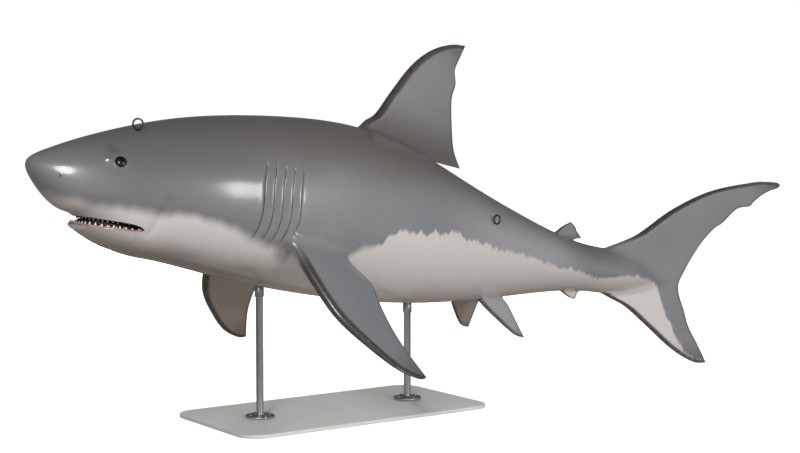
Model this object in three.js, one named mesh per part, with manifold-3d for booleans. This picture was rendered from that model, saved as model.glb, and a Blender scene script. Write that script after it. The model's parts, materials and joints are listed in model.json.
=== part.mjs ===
// A life-size statue of a great white shark, 3.8 m long, on a plain display stand.
// Millimetres, +Z up. The origin is the middle of the stand base's underside, the nose points to -X.
// The shark is laid out straight first: s is the distance back from the nose along the spine,
// y is sideways (minus is the shark's left) and z is height over the spine. place() bends the
// spine, tips the nose up and sets the shark at its height.
import * as THREE from 'three';
import { ParametricGeometry } from 'three/addons/geometries/ParametricGeometry.js';
import { mergeVertices } from 'three/addons/utils/BufferGeometryUtils.js';
import Module from 'manifold-3d';

const wasm = await Module();
wasm.setup();

// ---- Driving dimensions ---------------------------------------------------------------------

const GAP = 0.3;

// How the shark hangs in the air: nose up, and the rear of the spine swung to the left.
const NOSE_UP = THREE.MathUtils.degToRad(10.5);
const TAIL_SWING = THREE.MathUtils.degToRad(15);
const BEND_START = 1490;
const BEND_RUN = 2240;
const SPINE_STEP = 10;
const SPINE_END = 3900;
const OVER_BASE = 1370;
const SPINE_HEIGHT = 806;

// Sections of the body. Each row: distance from the nose, top, bottom, half-width, height of the
// widest level, and fullness (2 is an ellipse, more is boxier, less is sharper at the sides).
const STATIONS = [
  [0, 19, 19, 0, 19, 2.0],
  [45, 65, -53, 76, 0, 2.0],
  [112, 101, -109, 125, -11, 2.1],
  [168, 129, -136, 156, -17, 2.15],
  [224, 155, -149, 181, -22, 2.2],
  [373, 217, -248, 231, -34, 2.3],
  [560, 282, -275, 278, -30, 2.3],
  [783, 337, -295, 317, -15, 2.3],
  [1044, 380, -316, 343, 0, 2.25],
  [1343, 401, -322, 349, 7, 2.2],
  [1641, 363, -311, 332, 7, 2.2],
  [1940, 275, -277, 293, 4, 2.15],
  [2238, 191, -222, 233, -4, 2.1],
  [2536, 122, -160, 166, -11, 1.95],
  [2779, 90, -126, 124, -15, 1.65],
  [2984, 80, -111, 100, -15, 1.4],
  [3200, 14, -44, 18, -15, 1.3],
];

// The chin is fuller than the snout's line: it steps down in front and fades out along the throat.
const CHIN_DROP = 49;
const CHIN_FRONT = [198, 236];
const CHIN_FADE = [226, 416];

// Where the body is parted into named lengths.
const NECK_CUT = 765;
const TAIL_CUT = 2030;
const BODY_SLICES = 36;

// The mouth, open from the front lips back to its two corners. Each lip is level in front and then
// follows a line of (distance from the nose, height) to the corner.
const LIP_FRONT = 150;
const UPPER_LIP = -149;
const LOWER_LIP = -183;
const MOUTH_CORNER = [412, -165];
const UPPER_LINE = [[336, UPPER_LIP], [372, -151], [395, -156.5], MOUTH_CORNER];
const LOWER_LINE = [[261, LOWER_LIP], [340, -179], [384, -176.5], [403, -172.5], MOUTH_CORNER];
const JAW_BACK = [490, -345];
const MOUTH_REACH = 400;

// Gums and teeth.
const LIP_BACK = 394;
const GUM_GAP = 0.8;
const LOWER_GUM = { back: 396, inset: 5, depth: 12, height: 10, tip: 4, teeth: 14, tooth: [10, 3.6, 12] };
const UPPER_GUM = { back: 374, inset: 15, depth: 9, height: 3.5, tip: 1.5, teeth: 13, tooth: [10, 3.2, 8] };
const GUM_ROUNDING = 3;
const TOOTH_REACH = 0.97;
const TOOTH_TAPER = 0.6;
const TOOTH_ROOT = 1.5;
const TOOTH_DEPTH = 0.3;

// The tongue fills the mouth behind the teeth: where it starts and ends, how far it keeps in from
// the lips, how fast its tip widens, how far it is sunk into the jaw and its clearance above.
const TONGUE = { from: 264, to: 408, inset: 34, tip: 30, sunk: 3, clear: 1 };

// Glass eyes, flattened domes set into the head.
const EYE = { s: 285, z: 71, radius: 28, bulge: 23, sink: 14 };

// Fins. Outlines are (distance from the nose, height or reach), root to tip.
const DORSAL = {
  leading: [
    [1385, 350], [1442, 432], [1496, 478], [1560, 588], [1640, 712], [1730, 797], [1830, 844],
    [1908, 855],
  ],
  trailing: [
    [1979, 320], [1930, 395], [1900, 498], [1879, 610], [1887, 680], [1872, 738], [1890, 800],
    [1908, 855],
  ],
  thick: [26, 5],
};
const SECOND_DORSAL = {
  leading: [[2500, 70], [2567, 125], [2603, 155], [2645, 181]],
  trailing: [[2721, 116], [2689, 144], [2672, 165], [2645, 181]],
  thick: [9, 3],
};
const ANAL = {
  leading: [[2585, -95], [2645, -141], [2690, -162], [2733, -171]],
  trailing: [[2775, -122], [2752, -136], [2744, -152], [2733, -171]],
  thick: [9, 3],
};
const CAUDAL = {
  leading: [
    [3561, -377], [3485, -383], [3347, -336], [3159, -232], [3033, -166], [2890, -122], [2800, -60],
    [2775, 0], [2800, 55], [2890, 100], [3043, 181], [3220, 328], [3421, 451], [3647, 532], [3728, 550],
    [3791, 556], [3810, 547],
  ],
  trailing: [
    [3561, -377], [3508, -311], [3425, -216], [3385, -145], [3328, -39], [3352, 56], [3418, 192],
    [3479, 276], [3521, 311], [3589, 391], [3657, 416], [3678, 441], [3713, 478], [3757, 510],
    [3796, 529], [3810, 547],
  ],
  thick: [24, 5],
};
// The paired fins lie in planes that droop outwards; their reach is measured down that plane.
const PECTORAL = {
  leading: [
    [950, 95], [985, 171], [1026, 305], [1096, 471], [1212, 603], [1314, 688], [1405, 722],
    [1442, 712],
  ],
  trailing: [
    [1240, 120], [1250, 190], [1306, 258], [1326, 300], [1334, 404], [1353, 500], [1383, 588],
    [1442, 712],
  ],
  thick: [25, 5],
  droop: THREE.MathUtils.degToRad(48.7),
  start: [224, -26],
};
const PELVIC = {
  leading: [[2060, 20], [2098, 73], [2166, 153], [2255, 238], [2312, 252]],
  trailing: [[2240, 20], [2271, 82], [2285, 134], [2300, 202], [2312, 252]],
  thick: [11, 3],
  droop: THREE.MathUtils.degToRad(52.5),
  start: [56, -172],
};
const FIN_EDGE = 1.2;
const FIN_THINNING = 8;

// Lifting eyes: a forged ring on a short collar. Each sits at (s, y, z) on the skin.
const RING = {
  middle: 19, wire: 3.6, collar: 8, collarHeight: 7, shank: 4, shoulder: 3, neck: [5, 8], root: 12,
};
const HEAD_RING = { at: [376, -96, 202], out: [-0.18, 0, 0.98], turn: -35 };
const FLANK_RING = { at: [2003, -260, 104], out: [0, -0.95, 0.31], turn: 90 };

// The stand.
const BASE = { length: 1200, width: 640, height: 15, corner: 90, bevel: 3 };
const ROD = { radius: 15, flange: 60, flangeHeight: 10, stations: [1000, 1750] };

// ---- Helpers --------------------------------------------------------------------------------

/** A natural cubic spline through (xs, ys): smooth to its second derivative. */
function naturalSpline(xs, ys) {
  const n = xs.length;
  const curve = new Array(n).fill(0);
  const upper = new Array(n).fill(0);
  for (let i = 1; i < n - 1; i++) {
    const left = xs[i] - xs[i - 1];
    const right = xs[i + 1] - xs[i];
    const slope = (ys[i + 1] - ys[i]) / right - (ys[i] - ys[i - 1]) / left;
    const pivot = 2 * (left + right) - left * upper[i - 1];
    upper[i] = right / pivot;
    curve[i] = (6 * slope - left * curve[i - 1]) / pivot;
  }
  for (let i = n - 2; i > 0; i--) curve[i] -= upper[i] * curve[i + 1];
  return (x) => {
    let i = 0;
    while (i < n - 2 && x > xs[i + 1]) i++;
    const h = xs[i + 1] - xs[i];
    const a = (xs[i + 1] - x) / h;
    const b = (x - xs[i]) / h;
    const bend = ((a ** 3 - a) * curve[i] + (b ** 3 - b) * curve[i + 1]) * h * h / 6;
    return a * ys[i] + b * ys[i + 1] + bend;
  };
}

// The splines run over the square root of the distance, which rounds the nose.
const roots = STATIONS.map((row) => Math.sqrt(row[0]));
const [topOf, bottomOf, halfOf, middleOf, fullnessOf] = [1, 2, 3, 4, 5].map(
  (column) => naturalSpline(roots, STATIONS.map((row) => row[column])),
);

/** Top, bottom, half-width, widest level and fullness of the body at s, with a chin of 0 to 1. */
function bodySection(s, chin) {
  const q = Math.sqrt(Math.max(s, 0));
  const { smoothstep } = THREE.MathUtils;
  const step = chin * smoothstep(s, ...CHIN_FRONT) * (1 - smoothstep(s, ...CHIN_FADE));
  return {
    top: topOf(q),
    bottom: bottomOf(q) - CHIN_DROP * step,
    half: halfOf(q),
    middle: middleOf(q),
    fullness: fullnessOf(q),
  };
}

/** A point of the body's section at an angle from the right flank, the section grown by grow. */
function sectionPoint(s, angle, grow, chin) {
  const { top, bottom, half, middle, fullness } = bodySection(s, chin);
  const across = Math.cos(angle);
  const up = Math.sin(angle);
  const reach = (up >= 0 ? top - middle : middle - bottom) + grow;
  return [
    Math.sign(across) * Math.abs(across) ** (2 / fullness) * (half + grow),
    middle + Math.sign(up) * Math.abs(up) ** (2 / fullness) * reach,
  ];
}

/** Half the body's width at distance s and height z. */
function halfWidthAt(s, z, chin = 0) {
  const { top, bottom, half, middle, fullness } = bodySection(s, chin);
  const rise = z < middle ? (middle - z) / (middle - bottom) : (z - middle) / (top - middle);
  return rise >= 1 ? 0 : half * (1 - rise ** fullness) ** (1 / fullness);
}

/** The spine as a table: where it runs and which way it heads, every SPINE_STEP. */
const spine = [];
{
  const here = new THREE.Vector3();
  for (let s = 0; s <= SPINE_END; s += SPINE_STEP) {
    const turn = -TAIL_SWING * (Math.max(s - BEND_START, 0) / BEND_RUN) ** 2;
    const back = new THREE.Vector3(
      Math.cos(turn) * Math.cos(NOSE_UP),
      Math.sin(turn) * Math.cos(NOSE_UP),
      -Math.sin(NOSE_UP),
    );
    spine.push({ point: here.clone(), back, turn });
    here.addScaledVector(back, SPINE_STEP);
  }
}
const spineStart = spine[OVER_BASE / SPINE_STEP].point.clone();

/** Takes a point of the straight shark to its place in the posed one. */
function place(s, y, z) {
  const i = THREE.MathUtils.clamp(Math.floor(s / SPINE_STEP), 0, spine.length - 2);
  const blend = s / SPINE_STEP - i;
  const turn = THREE.MathUtils.lerp(spine[i].turn, spine[i + 1].turn, blend);
  const back = spine[i].back.clone().lerp(spine[i + 1].back, blend).normalize();
  const right = new THREE.Vector3(-Math.sin(turn), Math.cos(turn), 0);
  const up = back.clone().cross(right);
  const point = spine[i].point.clone().lerp(spine[i + 1].point, blend).sub(spineStart);
  return point.addScaledVector(right, y).addScaledVector(up, z).add(new THREE.Vector3(0, 0, SPINE_HEIGHT));
}

/** Merges a geometry's shared corners, drops flat triangles and turns its faces outwards. */
function sealed(geometry) {
  const bare = geometry.clone();
  bare.deleteAttribute('normal');
  bare.deleteAttribute('uv');
  const merged = mergeVertices(bare, 1e-3);
  const index = merged.index.array;
  const points = merged.attributes.position;
  const corner = [new THREE.Vector3(), new THREE.Vector3(), new THREE.Vector3()];
  const kept = [];
  let volume = 0;
  for (let i = 0; i < index.length; i += 3) {
    const [a, b, c] = [index[i], index[i + 1], index[i + 2]];
    if (a === b || b === c || c === a) continue;
    kept.push(a, b, c);
    corner.forEach((v, k) => v.fromBufferAttribute(points, index[i + k]));
    volume += corner[0].dot(corner[1].cross(corner[2]));
  }
  if (volume < 0) {
    for (let i = 0; i < kept.length; i += 3) [kept[i], kept[i + 1]] = [kept[i + 1], kept[i]];
  }
  return new wasm.Manifold(new wasm.Mesh({
    numProp: 3,
    vertProperties: new Float32Array(points.array),
    triVerts: new Uint32Array(kept),
  }));
}

/** A solid from a function of (u, v) in 0..1 that wraps round in u and closes at both ends of v. */
function wrapped(surface, slices, stacks) {
  return sealed(new ParametricGeometry(surface, slices, stacks));
}

/** A length of the body from s0 to s1, with flat ends, grown on every side by grow. */
function bodyLength(s0, s1, stacks, grow = 0, crowd = 1, chin = 0) {
  const last = stacks - 1;
  return wrapped((u, v, target) => {
    const row = Math.round(v * stacks);
    const along = THREE.MathUtils.clamp(row - 1, 0, last - 1) / (last - 1);
    const s = s0 + (s1 - s0) * along ** crowd + (along > 0.5 ? grow : -grow);
    const [y, z] = sectionPoint(Math.max(s, 0), 2 * Math.PI * u, grow, chin);
    const onEnd = row === 0 || row === stacks;
    const hub = middleOf(Math.sqrt(Math.max(s, 0)));
    target.copy(place(s, onEnd ? 0 : y, onEnd ? hub : z));
  }, BODY_SLICES, stacks);
}

/** A prism across the shark from an outline in (s, z), reaching MOUTH_REACH to each side. */
function crossPrism(outline) {
  const shape = new THREE.Shape(outline.map(([s, z]) => new THREE.Vector2(s, z)));
  const geometry = new THREE.ExtrudeGeometry(shape, { depth: 2 * MOUTH_REACH, bevelEnabled: false });
  const points = geometry.attributes.position;
  for (let i = 0; i < points.count; i++) {
    const spot = place(points.getX(i), points.getZ(i) - MOUTH_REACH, points.getY(i));
    points.setXYZ(i, spot.x, spot.y, spot.z);
  }
  return sealed(geometry);
}

/** Half-thickness of a fin, 0 to 1, from its leading edge (u = 0) to its trailing edge (u = 1). */
function foil(u) {
  return (1.4845 * Math.sqrt(u) - 0.63 * u - 1.758 * u ** 2 + 1.4215 * u ** 3 - 0.518 * u ** 4) * 2;
}

/** A fin between its leading and trailing outlines. onFin(s, reach, off) gives a point off its plane. */
function finSolid(fin, onFin, rows, slices = 14, tips = 1) {
  const edges = [fin.leading, fin.trailing].map(
    (points) => new THREE.SplineCurve(points.map(([s, reach]) => new THREE.Vector2(s, reach))),
  );
  const stacks = tips === 2 ? rows : rows + 1;
  return wrapped((u, v, target) => {
    const row = Math.round(v * stacks);
    const along = tips === 2 ? row / rows : Math.max(row - 1, 0) / rows;
    const [lead, trail] = edges.map((edge) => edge.getPointAt(along));
    const turn = 2 * Math.PI * u;
    const chord = (1 - Math.cos(turn)) / 2;
    const side = Math.abs(Math.sin(turn)) < 1e-6 ? 0 : Math.sign(Math.sin(turn));
    const towardsTip = tips === 2 ? Math.abs(2 * along - 1) : along;
    const narrowing = Math.min(1, lead.distanceTo(trail) / (FIN_THINNING * fin.thick[0]));
    const thick = THREE.MathUtils.lerp(fin.thick[0], fin.thick[1], towardsTip) * narrowing;
    const capped = tips === 1 && row === 0;
    const pointed = along === 1 || (tips === 2 && along === 0);
    const spot = lead.clone().lerp(trail, capped ? 0.5 : chord);
    const off = capped || pointed ? 0 : side * (thick * foil(chord) + FIN_EDGE);
    target.copy(onFin(spot.x, spot.y, off));
  }, slices, stacks);
}

/** Points of a fin that stands in the shark's middle plane. */
const onMiddle = (s, height, off) => place(s, off, height);

/** Points of a paired fin on one side (-1 left, 1 right), lying in its drooping plane. */
function onDroop(fin, side) {
  const [y0, z0] = fin.start;
  return (s, reach, off) => place(
    s,
    side * (y0 + reach * Math.cos(fin.droop) + off * Math.sin(fin.droop)),
    z0 - reach * Math.sin(fin.droop) + off * Math.cos(fin.droop),
  );
}

// ---- Node list ------------------------------------------------------------------------------

const part = new THREE.Group();
const finish = (color, roughness, metalness = 0) => (
  new THREE.MeshStandardMaterial({ color, roughness, metalness })
);

/** Adds a solid to the part as a named mesh. */
function addNode(name, solid, material) {
  const mesh = solid.getMesh();
  const geometry = new THREE.BufferGeometry();
  geometry.setAttribute('position', new THREE.BufferAttribute(new Float32Array(mesh.vertProperties), 3));
  geometry.setIndex(new THREE.BufferAttribute(new Uint32Array(mesh.triVerts), 1));
  geometry.computeVertexNormals();
  const node = new THREE.Mesh(geometry, material);
  node.name = name;
  part.add(node);
}

// ---- Body -----------------------------------------------------------------------------------

const JAW_LOFT = [160, 520];
const JAW_ROWS = 18;
const HEAD_ROWS = 20;
const TRUNK_ROWS = 13;
const TAIL_ROWS = 15;
const NOSE_CROWD = 1.8;
const lengths = [
  { name: 'head', from: 0, to: NECK_CUT, rows: HEAD_ROWS, crowd: NOSE_CROWD },
  { name: 'trunk', from: NECK_CUT, to: TAIL_CUT, rows: TRUNK_ROWS, crowd: 1 },
  { name: 'tail', from: TAIL_CUT, to: STATIONS.at(-1)[0], rows: TAIL_ROWS, crowd: 1 },
];
const lengthSolid = ({ from, to, rows, crowd }, grow) => (
  bodyLength(from + (from > 0 ? GAP / 2 : 0), to - GAP / 2, rows, grow, crowd)
);
const [headLoft, trunkLoft, tailLoft] = lengths.map((length) => lengthSolid(length, 0));
const grownLofts = lengths.map((length) => lengthSolid(length, GAP));

/** Cuts a fin, ring or rod back to just outside the body. */
const clearOfBody = (solid) => grownLofts.reduce((rest, loft) => rest.subtract(loft), solid);

// ---- Mouth ----------------------------------------------------------------------------------

const [cornerS, cornerZ] = MOUTH_CORNER;

/** Height of a lip's line at s. */
function heightOn(line, s) {
  const next = line.findIndex(([there]) => there > s);
  if (next < 1) return next < 0 ? cornerZ : line[0][1];
  const [[s0, z0], [s1, z1]] = line.slice(next - 1);
  return THREE.MathUtils.mapLinear(s, s0, s1, z0, z1);
}

const upperPlane = (s) => heightOn(UPPER_LINE, s);
const lowerPlane = (s) => heightOn(LOWER_LINE, s);
const jawRegion = crossPrism([
  [LIP_FRONT, LOWER_LIP], [LIP_FRONT, JAW_BACK[1]], JAW_BACK, ...LOWER_LINE.toReversed(),
]);
const openedRegion = crossPrism([
  [LIP_FRONT, UPPER_LIP],
  [LIP_FRONT, JAW_BACK[1]],
  [JAW_BACK[0] + GAP, JAW_BACK[1]],
  [cornerS + GAP, cornerZ],
  ...UPPER_LINE.slice(0, -1).toReversed(),
]);

/** Where the body's underside reaches height z, going back from the snout. */
function frontOf(z, chin) {
  let [ahead, behind] = [LIP_FRONT, LIP_BACK];
  for (let i = 0; i < 30; i++) {
    const s = (ahead + behind) / 2;
    if (bodySection(s, chin).bottom > z) ahead = s;
    else behind = s;
  }
  return behind;
}

/** The tongue, a flattened tapering body between the jaw and the palate. */
function tongueSolid() {
  const stacks = 12;
  return wrapped((u, v, target) => {
    const row = Math.round(v * stacks);
    const along = THREE.MathUtils.clamp((row - 1) / (stacks - 2), 0, 1);
    const s = THREE.MathUtils.lerp(TONGUE.from, TONGUE.to, along);
    const lips = Math.min(halfWidthAt(s, LOWER_LIP, 1), halfWidthAt(s, UPPER_LIP));
    const tip = Math.sqrt(Math.min(1, (s - TONGUE.from + 1) / TONGUE.tip));
    const ended = row === 0 || row === stacks ? 0 : 1;
    const across = Math.cos(2 * Math.PI * u) * ended;
    const up = Math.sin(2 * Math.PI * u) * ended;
    const bottom = lowerPlane(s) - TONGUE.sunk;
    const half = (upperPlane(s) - TONGUE.clear - bottom) / 2;
    target.copy(place(
      s,
      Math.sign(across) * Math.sqrt(Math.abs(across)) * (lips - TONGUE.inset) * tip,
      bottom + half + Math.sign(up) * Math.sqrt(Math.abs(up)) * half,
    ));
  }, 16, stacks);
}

/** A gum with its teeth, along one jaw. base(s) is the jaw's plane and up is 1 or -1. */
function toothedGum(gum, base, up) {
  const chin = up > 0 ? 1 : 0;
  const front = frontOf(base(LIP_FRONT), chin);
  const lip = (a) => {
    const s = front + (gum.back - front) * a * a;
    return new THREE.Vector2(s, Math.sign(a) * halfWidthAt(s, base(s), chin));
  };
  const lane = (a, inset) => {
    const along = lip(a + 0.01).sub(lip(a - 0.01)).normalize();
    const spot = lip(a);
    return [spot.x + along.y * inset, spot.y - along.x * inset];
  };
  const ring = [[0, 0], [0, 0.6], [0.25, 1], [0.75, 1], [1, 0.6], [1, 0]];
  const heightAt = (a) => THREE.MathUtils.lerp(gum.height, gum.tip, Math.abs(a) ** GUM_ROUNDING);
  const stacks = 22;
  const strip = wrapped((u, v, target) => {
    const row = Math.round(v * stacks);
    const a = THREE.MathUtils.clamp((row - 1) / (stacks - 2), 0, 1) * 2 - 1;
    const ended = row === 0 || row === stacks;
    const [deep, high] = ended ? [0.5, 0.4] : ring[Math.round(u * ring.length) % ring.length];
    const [s, y] = lane(a, gum.inset + deep * gum.depth);
    target.copy(place(s, y, base(s) + up * (GUM_GAP + high * heightAt(a))));
  }, ring.length, stacks);
  const [width, thickness, height] = gum.tooth;
  let joined = strip;
  for (let side = -1; side <= 1; side += 2) {
    for (let i = 0; i < gum.teeth; i++) {
      const a = side * Math.sqrt((i + 0.5) / (gum.teeth + 0.5)) * TOOTH_REACH;
      const size = 1 - TOOTH_TAPER * Math.abs(a) ** GUM_ROUNDING;
      const inset = gum.inset + TOOTH_DEPTH * gum.depth;
      const [s, y] = lane(a, inset);
      const [s2, y2] = lane(a + 0.01 * side, inset);
      const tooth = new THREE.ConeGeometry(0.5, 1, 4);
      tooth.rotateY(Math.PI / 4);
      tooth.scale(Math.SQRT2 * width * size, height * size, Math.SQRT2 * thickness * size);
      tooth.rotateX(up * Math.PI / 2);
      tooth.rotateZ(Math.atan2(y2 - y, s2 - s));
      const lift = base(s) + up * (GUM_GAP + heightAt(a) - TOOTH_ROOT + height * size / 2);
      const points = tooth.attributes.position;
      for (let k = 0; k < points.count; k++) {
        const spot = place(s + points.getX(k), y + points.getY(k), lift + points.getZ(k));
        points.setXYZ(k, spot.x, spot.y, spot.z);
      }
      joined = joined.add(sealed(tooth));
    }
  }
  return joined;
}

// ---- Eyes -----------------------------------------------------------------------------------

/** A flattened glass dome on one side of the head, grown by grow. */
function eyeSolid(side, grow) {
  const y = halfWidthAt(EYE.s, EYE.z);
  const ahead = halfWidthAt(EYE.s + 5, EYE.z) - halfWidthAt(EYE.s - 5, EYE.z);
  const above = halfWidthAt(EYE.s, EYE.z + 5) - halfWidthAt(EYE.s, EYE.z - 5);
  const out = new THREE.Vector3(-ahead / 10, 1, -above / 10).normalize();
  const dome = new THREE.SphereGeometry(1, 14, 7);
  dome.rotateX(Math.PI / 2);
  dome.scale(EYE.radius + grow, EYE.radius + grow, EYE.bulge + grow);
  dome.applyQuaternion(new THREE.Quaternion().setFromUnitVectors(new THREE.Vector3(0, 0, 1), out));
  const points = dome.attributes.position;
  for (let i = 0; i < points.count; i++) {
    const spot = place(
      EYE.s - out.x * EYE.sink + points.getX(i),
      side * (y - out.y * EYE.sink + points.getY(i)),
      EYE.z - out.z * EYE.sink + points.getZ(i),
    );
    points.setXYZ(i, spot.x, spot.y, spot.z);
  }
  return sealed(dome);
}

// ---- Lifting rings --------------------------------------------------------------------------

/** A ring on its collar, standing off the skin at ring.at, on one side (-1 left, 1 right). */
function liftingRing(ring, side) {
  const [s, y, z] = ring.at;
  const foot = place(s, -side * y, z);
  const tip = place(s + ring.out[0], -side * (y + ring.out[1]), z + ring.out[2]);
  const out = tip.sub(foot).normalize();
  const eye = new THREE.TorusGeometry(RING.middle, RING.wire, 6, 14);
  eye.rotateX(Math.PI / 2);
  eye.rotateZ(THREE.MathUtils.degToRad(-side * ring.turn));
  eye.translate(0, 0, RING.middle + RING.collarHeight);
  const { collar: wide, shank, shoulder, neck, root } = RING;
  const profile = [
    [0, -root], [shank, -root], [shank, 0], [wide, 0], [wide, shoulder], neck, [0, neck[1]],
  ];
  const collar = new THREE.LatheGeometry(profile.map(([r, h]) => new THREE.Vector2(r, h)), 8);
  collar.rotateX(Math.PI / 2);
  const stand = new THREE.Matrix4().compose(
    foot,
    new THREE.Quaternion().setFromUnitVectors(new THREE.Vector3(0, 0, 1), out),
    new THREE.Vector3(1, 1, 1),
  );
  eye.applyMatrix4(stand);
  collar.applyMatrix4(stand);
  return clearOfBody(sealed(eye).add(sealed(collar)));
}

// ---- Stand ----------------------------------------------------------------------------------

/** The flat base: a rounded slab with a small bevel. */
function standBase() {
  const x = BASE.length / 2 - BASE.bevel;
  const y = BASE.width / 2 - BASE.bevel;
  const r = BASE.corner - BASE.bevel;
  const shape = new THREE.Shape();
  shape.absarc(x - r, y - r, r, 0, Math.PI / 2);
  shape.absarc(r - x, y - r, r, Math.PI / 2, Math.PI);
  shape.absarc(r - x, r - y, r, Math.PI, 1.5 * Math.PI);
  shape.absarc(x - r, r - y, r, 1.5 * Math.PI, 2 * Math.PI);
  const slab = new THREE.ExtrudeGeometry(shape, {
    depth: BASE.height - 2 * BASE.bevel,
    bevelThickness: BASE.bevel,
    bevelSize: BASE.bevel,
    bevelSegments: 1,
    curveSegments: 4,
  });
  slab.translate(0, 0, BASE.bevel);
  return sealed(slab);
}

/** A rod from the base up into the belly at distance s, with a flange at its foot. */
function standRod(s) {
  const top = place(s, 0, 0);
  const foot = BASE.height + GAP;
  const profile = [
    [0, foot], [ROD.flange, foot], [ROD.flange, foot + ROD.flangeHeight],
    [ROD.radius, foot + ROD.flangeHeight], [ROD.radius, top.z], [0, top.z],
  ];
  const rod = new THREE.LatheGeometry(profile.map(([r, h]) => new THREE.Vector2(r, h)), 16);
  rod.rotateX(Math.PI / 2);
  rod.translate(top.x, top.y, 0);
  return clearOfBody(sealed(rod));
}

// ---- Assembly -------------------------------------------------------------------------------

const back = finish(0x6e7072, 0.25);
const belly = finish(0xb9b4b0, 0.28);
const finGrey = finish(0x5d5c5c, 0.25);
const gumPink = finish(0xa5807a, 0.3);
const glass = finish(0x14100e, 0.05);
const steel = finish(0x3d3c3c, 0.35, 1);
const brushed = finish(0xa8a8a6, 0.35, 1);
const paint = finish(0xcfcfcc, 0.5);

const [eyeLeft, eyeRight] = [-1, 1].map((side) => eyeSolid(side, 0));
const head = [-1, 1].reduce((rest, side) => rest.subtract(eyeSolid(side, GAP)), headLoft);
addNode('head', head.subtract(openedRegion), back);
const jaw = bodyLength(...JAW_LOFT, JAW_ROWS, 0, 1, 1).intersect(jawRegion);
addNode('lower_jaw', jaw.add(tongueSolid()), belly);
addNode('lower_teeth', toothedGum(LOWER_GUM, lowerPlane, 1), gumPink);
addNode('upper_teeth', toothedGum(UPPER_GUM, upperPlane, -1), gumPink);
addNode('eye_left', eyeLeft, glass);
addNode('eye_right', eyeRight, glass);

addNode('trunk', trunkLoft, back);
addNode('tail', tailLoft, back);
addNode('first_dorsal_fin', clearOfBody(finSolid(DORSAL, onMiddle, 16, 12)), finGrey);
addNode('second_dorsal_fin', clearOfBody(finSolid(SECOND_DORSAL, onMiddle, 7, 10)), finGrey);
addNode('anal_fin', clearOfBody(finSolid(ANAL, onMiddle, 7, 10)), finGrey);
addNode('caudal_fin', clearOfBody(finSolid(CAUDAL, onMiddle, 34, 12, 2)), finGrey);
for (const [name, side] of [['left', -1], ['right', 1]]) {
  const pectoral = finSolid(PECTORAL, onDroop(PECTORAL, side), 16, 12);
  const pelvic = finSolid(PELVIC, onDroop(PELVIC, side), 8, 10);
  addNode(`pectoral_fin_${name}`, clearOfBody(pectoral), finGrey);
  addNode(`pelvic_fin_${name}`, clearOfBody(pelvic), finGrey);
  addNode(`flank_ring_${name}`, liftingRing(FLANK_RING, side), steel);
}
addNode('head_ring', liftingRing(HEAD_RING, -1), steel);

addNode('stand_base', standBase(), paint);
addNode('stand_rod_front', standRod(ROD.stations[0]), brushed);
addNode('stand_rod_rear', standRod(ROD.stations[1]), brushed);

export default part;
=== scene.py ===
# %% [markdown]
# # A life-size great white shark statue
#
# The real object is a hollow painted fibreglass casting, 3.8 m long, with a glossy lacquer, glass
# eyes and three forged lifting rings. Here it stands on a plain display stand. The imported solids
# give the frame: every piece below is made around them, in metres, with +Z up and the nose to -X.

# %% The frame
import json
import math
from contextlib import contextmanager

import bmesh
import bpy
import numpy as np
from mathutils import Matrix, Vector
from mathutils.kdtree import KDTree

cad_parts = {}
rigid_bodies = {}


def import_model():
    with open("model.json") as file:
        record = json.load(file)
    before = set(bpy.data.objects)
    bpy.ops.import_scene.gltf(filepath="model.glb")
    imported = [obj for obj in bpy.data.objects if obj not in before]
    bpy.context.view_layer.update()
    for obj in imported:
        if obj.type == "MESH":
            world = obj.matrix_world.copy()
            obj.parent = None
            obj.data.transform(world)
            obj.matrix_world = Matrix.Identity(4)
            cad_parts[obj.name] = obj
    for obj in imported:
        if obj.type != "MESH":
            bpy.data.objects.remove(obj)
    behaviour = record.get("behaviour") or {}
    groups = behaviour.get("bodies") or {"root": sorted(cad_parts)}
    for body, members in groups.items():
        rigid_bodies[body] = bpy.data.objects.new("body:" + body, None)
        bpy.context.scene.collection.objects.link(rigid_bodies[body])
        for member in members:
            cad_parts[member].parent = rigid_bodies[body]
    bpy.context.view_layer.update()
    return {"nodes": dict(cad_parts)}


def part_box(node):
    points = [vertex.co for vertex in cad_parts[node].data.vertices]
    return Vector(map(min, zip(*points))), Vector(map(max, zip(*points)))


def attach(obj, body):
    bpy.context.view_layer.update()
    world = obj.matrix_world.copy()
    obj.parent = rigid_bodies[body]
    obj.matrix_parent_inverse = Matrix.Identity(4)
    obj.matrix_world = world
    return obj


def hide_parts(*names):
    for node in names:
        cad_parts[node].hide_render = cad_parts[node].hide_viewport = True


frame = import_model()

MM = 0.001

# %% [markdown]
# ## The camera
#
# A product picture of something this long is taken from well back with a long lens, which keeps
# the nose and the tail at nearly one scale. The camera stands a little above the shark's height.
# The picture is developed plainly, so that a finish looks the colour it is given.

# %% Camera
AIM = Vector((0.3246, -0.0152, 0.7684))
CAMERA = {"azimuth": -35.3, "elevation": 4.0, "distance": 6.714, "lens": 70.43}


def towards(azimuth, elevation):
    """The direction from the shark to a place at that azimuth and elevation, in degrees."""
    a, e = math.radians(azimuth), math.radians(elevation)
    return Vector((math.sin(a) * math.cos(e), -math.cos(a) * math.cos(e), math.sin(e)))


def in_scene(name, data):
    """A new object in the scene, from a mesh, camera or lamp."""
    obj = bpy.data.objects.new(name, data)
    bpy.context.scene.collection.objects.link(obj)
    return obj


def looking(name, data, place_at, target):
    """A camera or lamp at a place, turned to its target."""
    obj = in_scene(name, data)
    obj.location = place_at
    obj.rotation_euler = (target - place_at).to_track_quat("-Z", "Y").to_euler()
    return obj


lens = bpy.data.cameras.new("camera")
lens.lens = CAMERA["lens"]
lens.clip_end = 100
eye_point = AIM + towards(CAMERA["azimuth"], CAMERA["elevation"]) * CAMERA["distance"]
bpy.context.scene.camera = looking("camera", lens, eye_point, AIM)
bpy.context.scene.view_settings.view_transform = "Standard"
print("camera at", tuple(round(c, 3) for c in eye_point))

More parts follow.
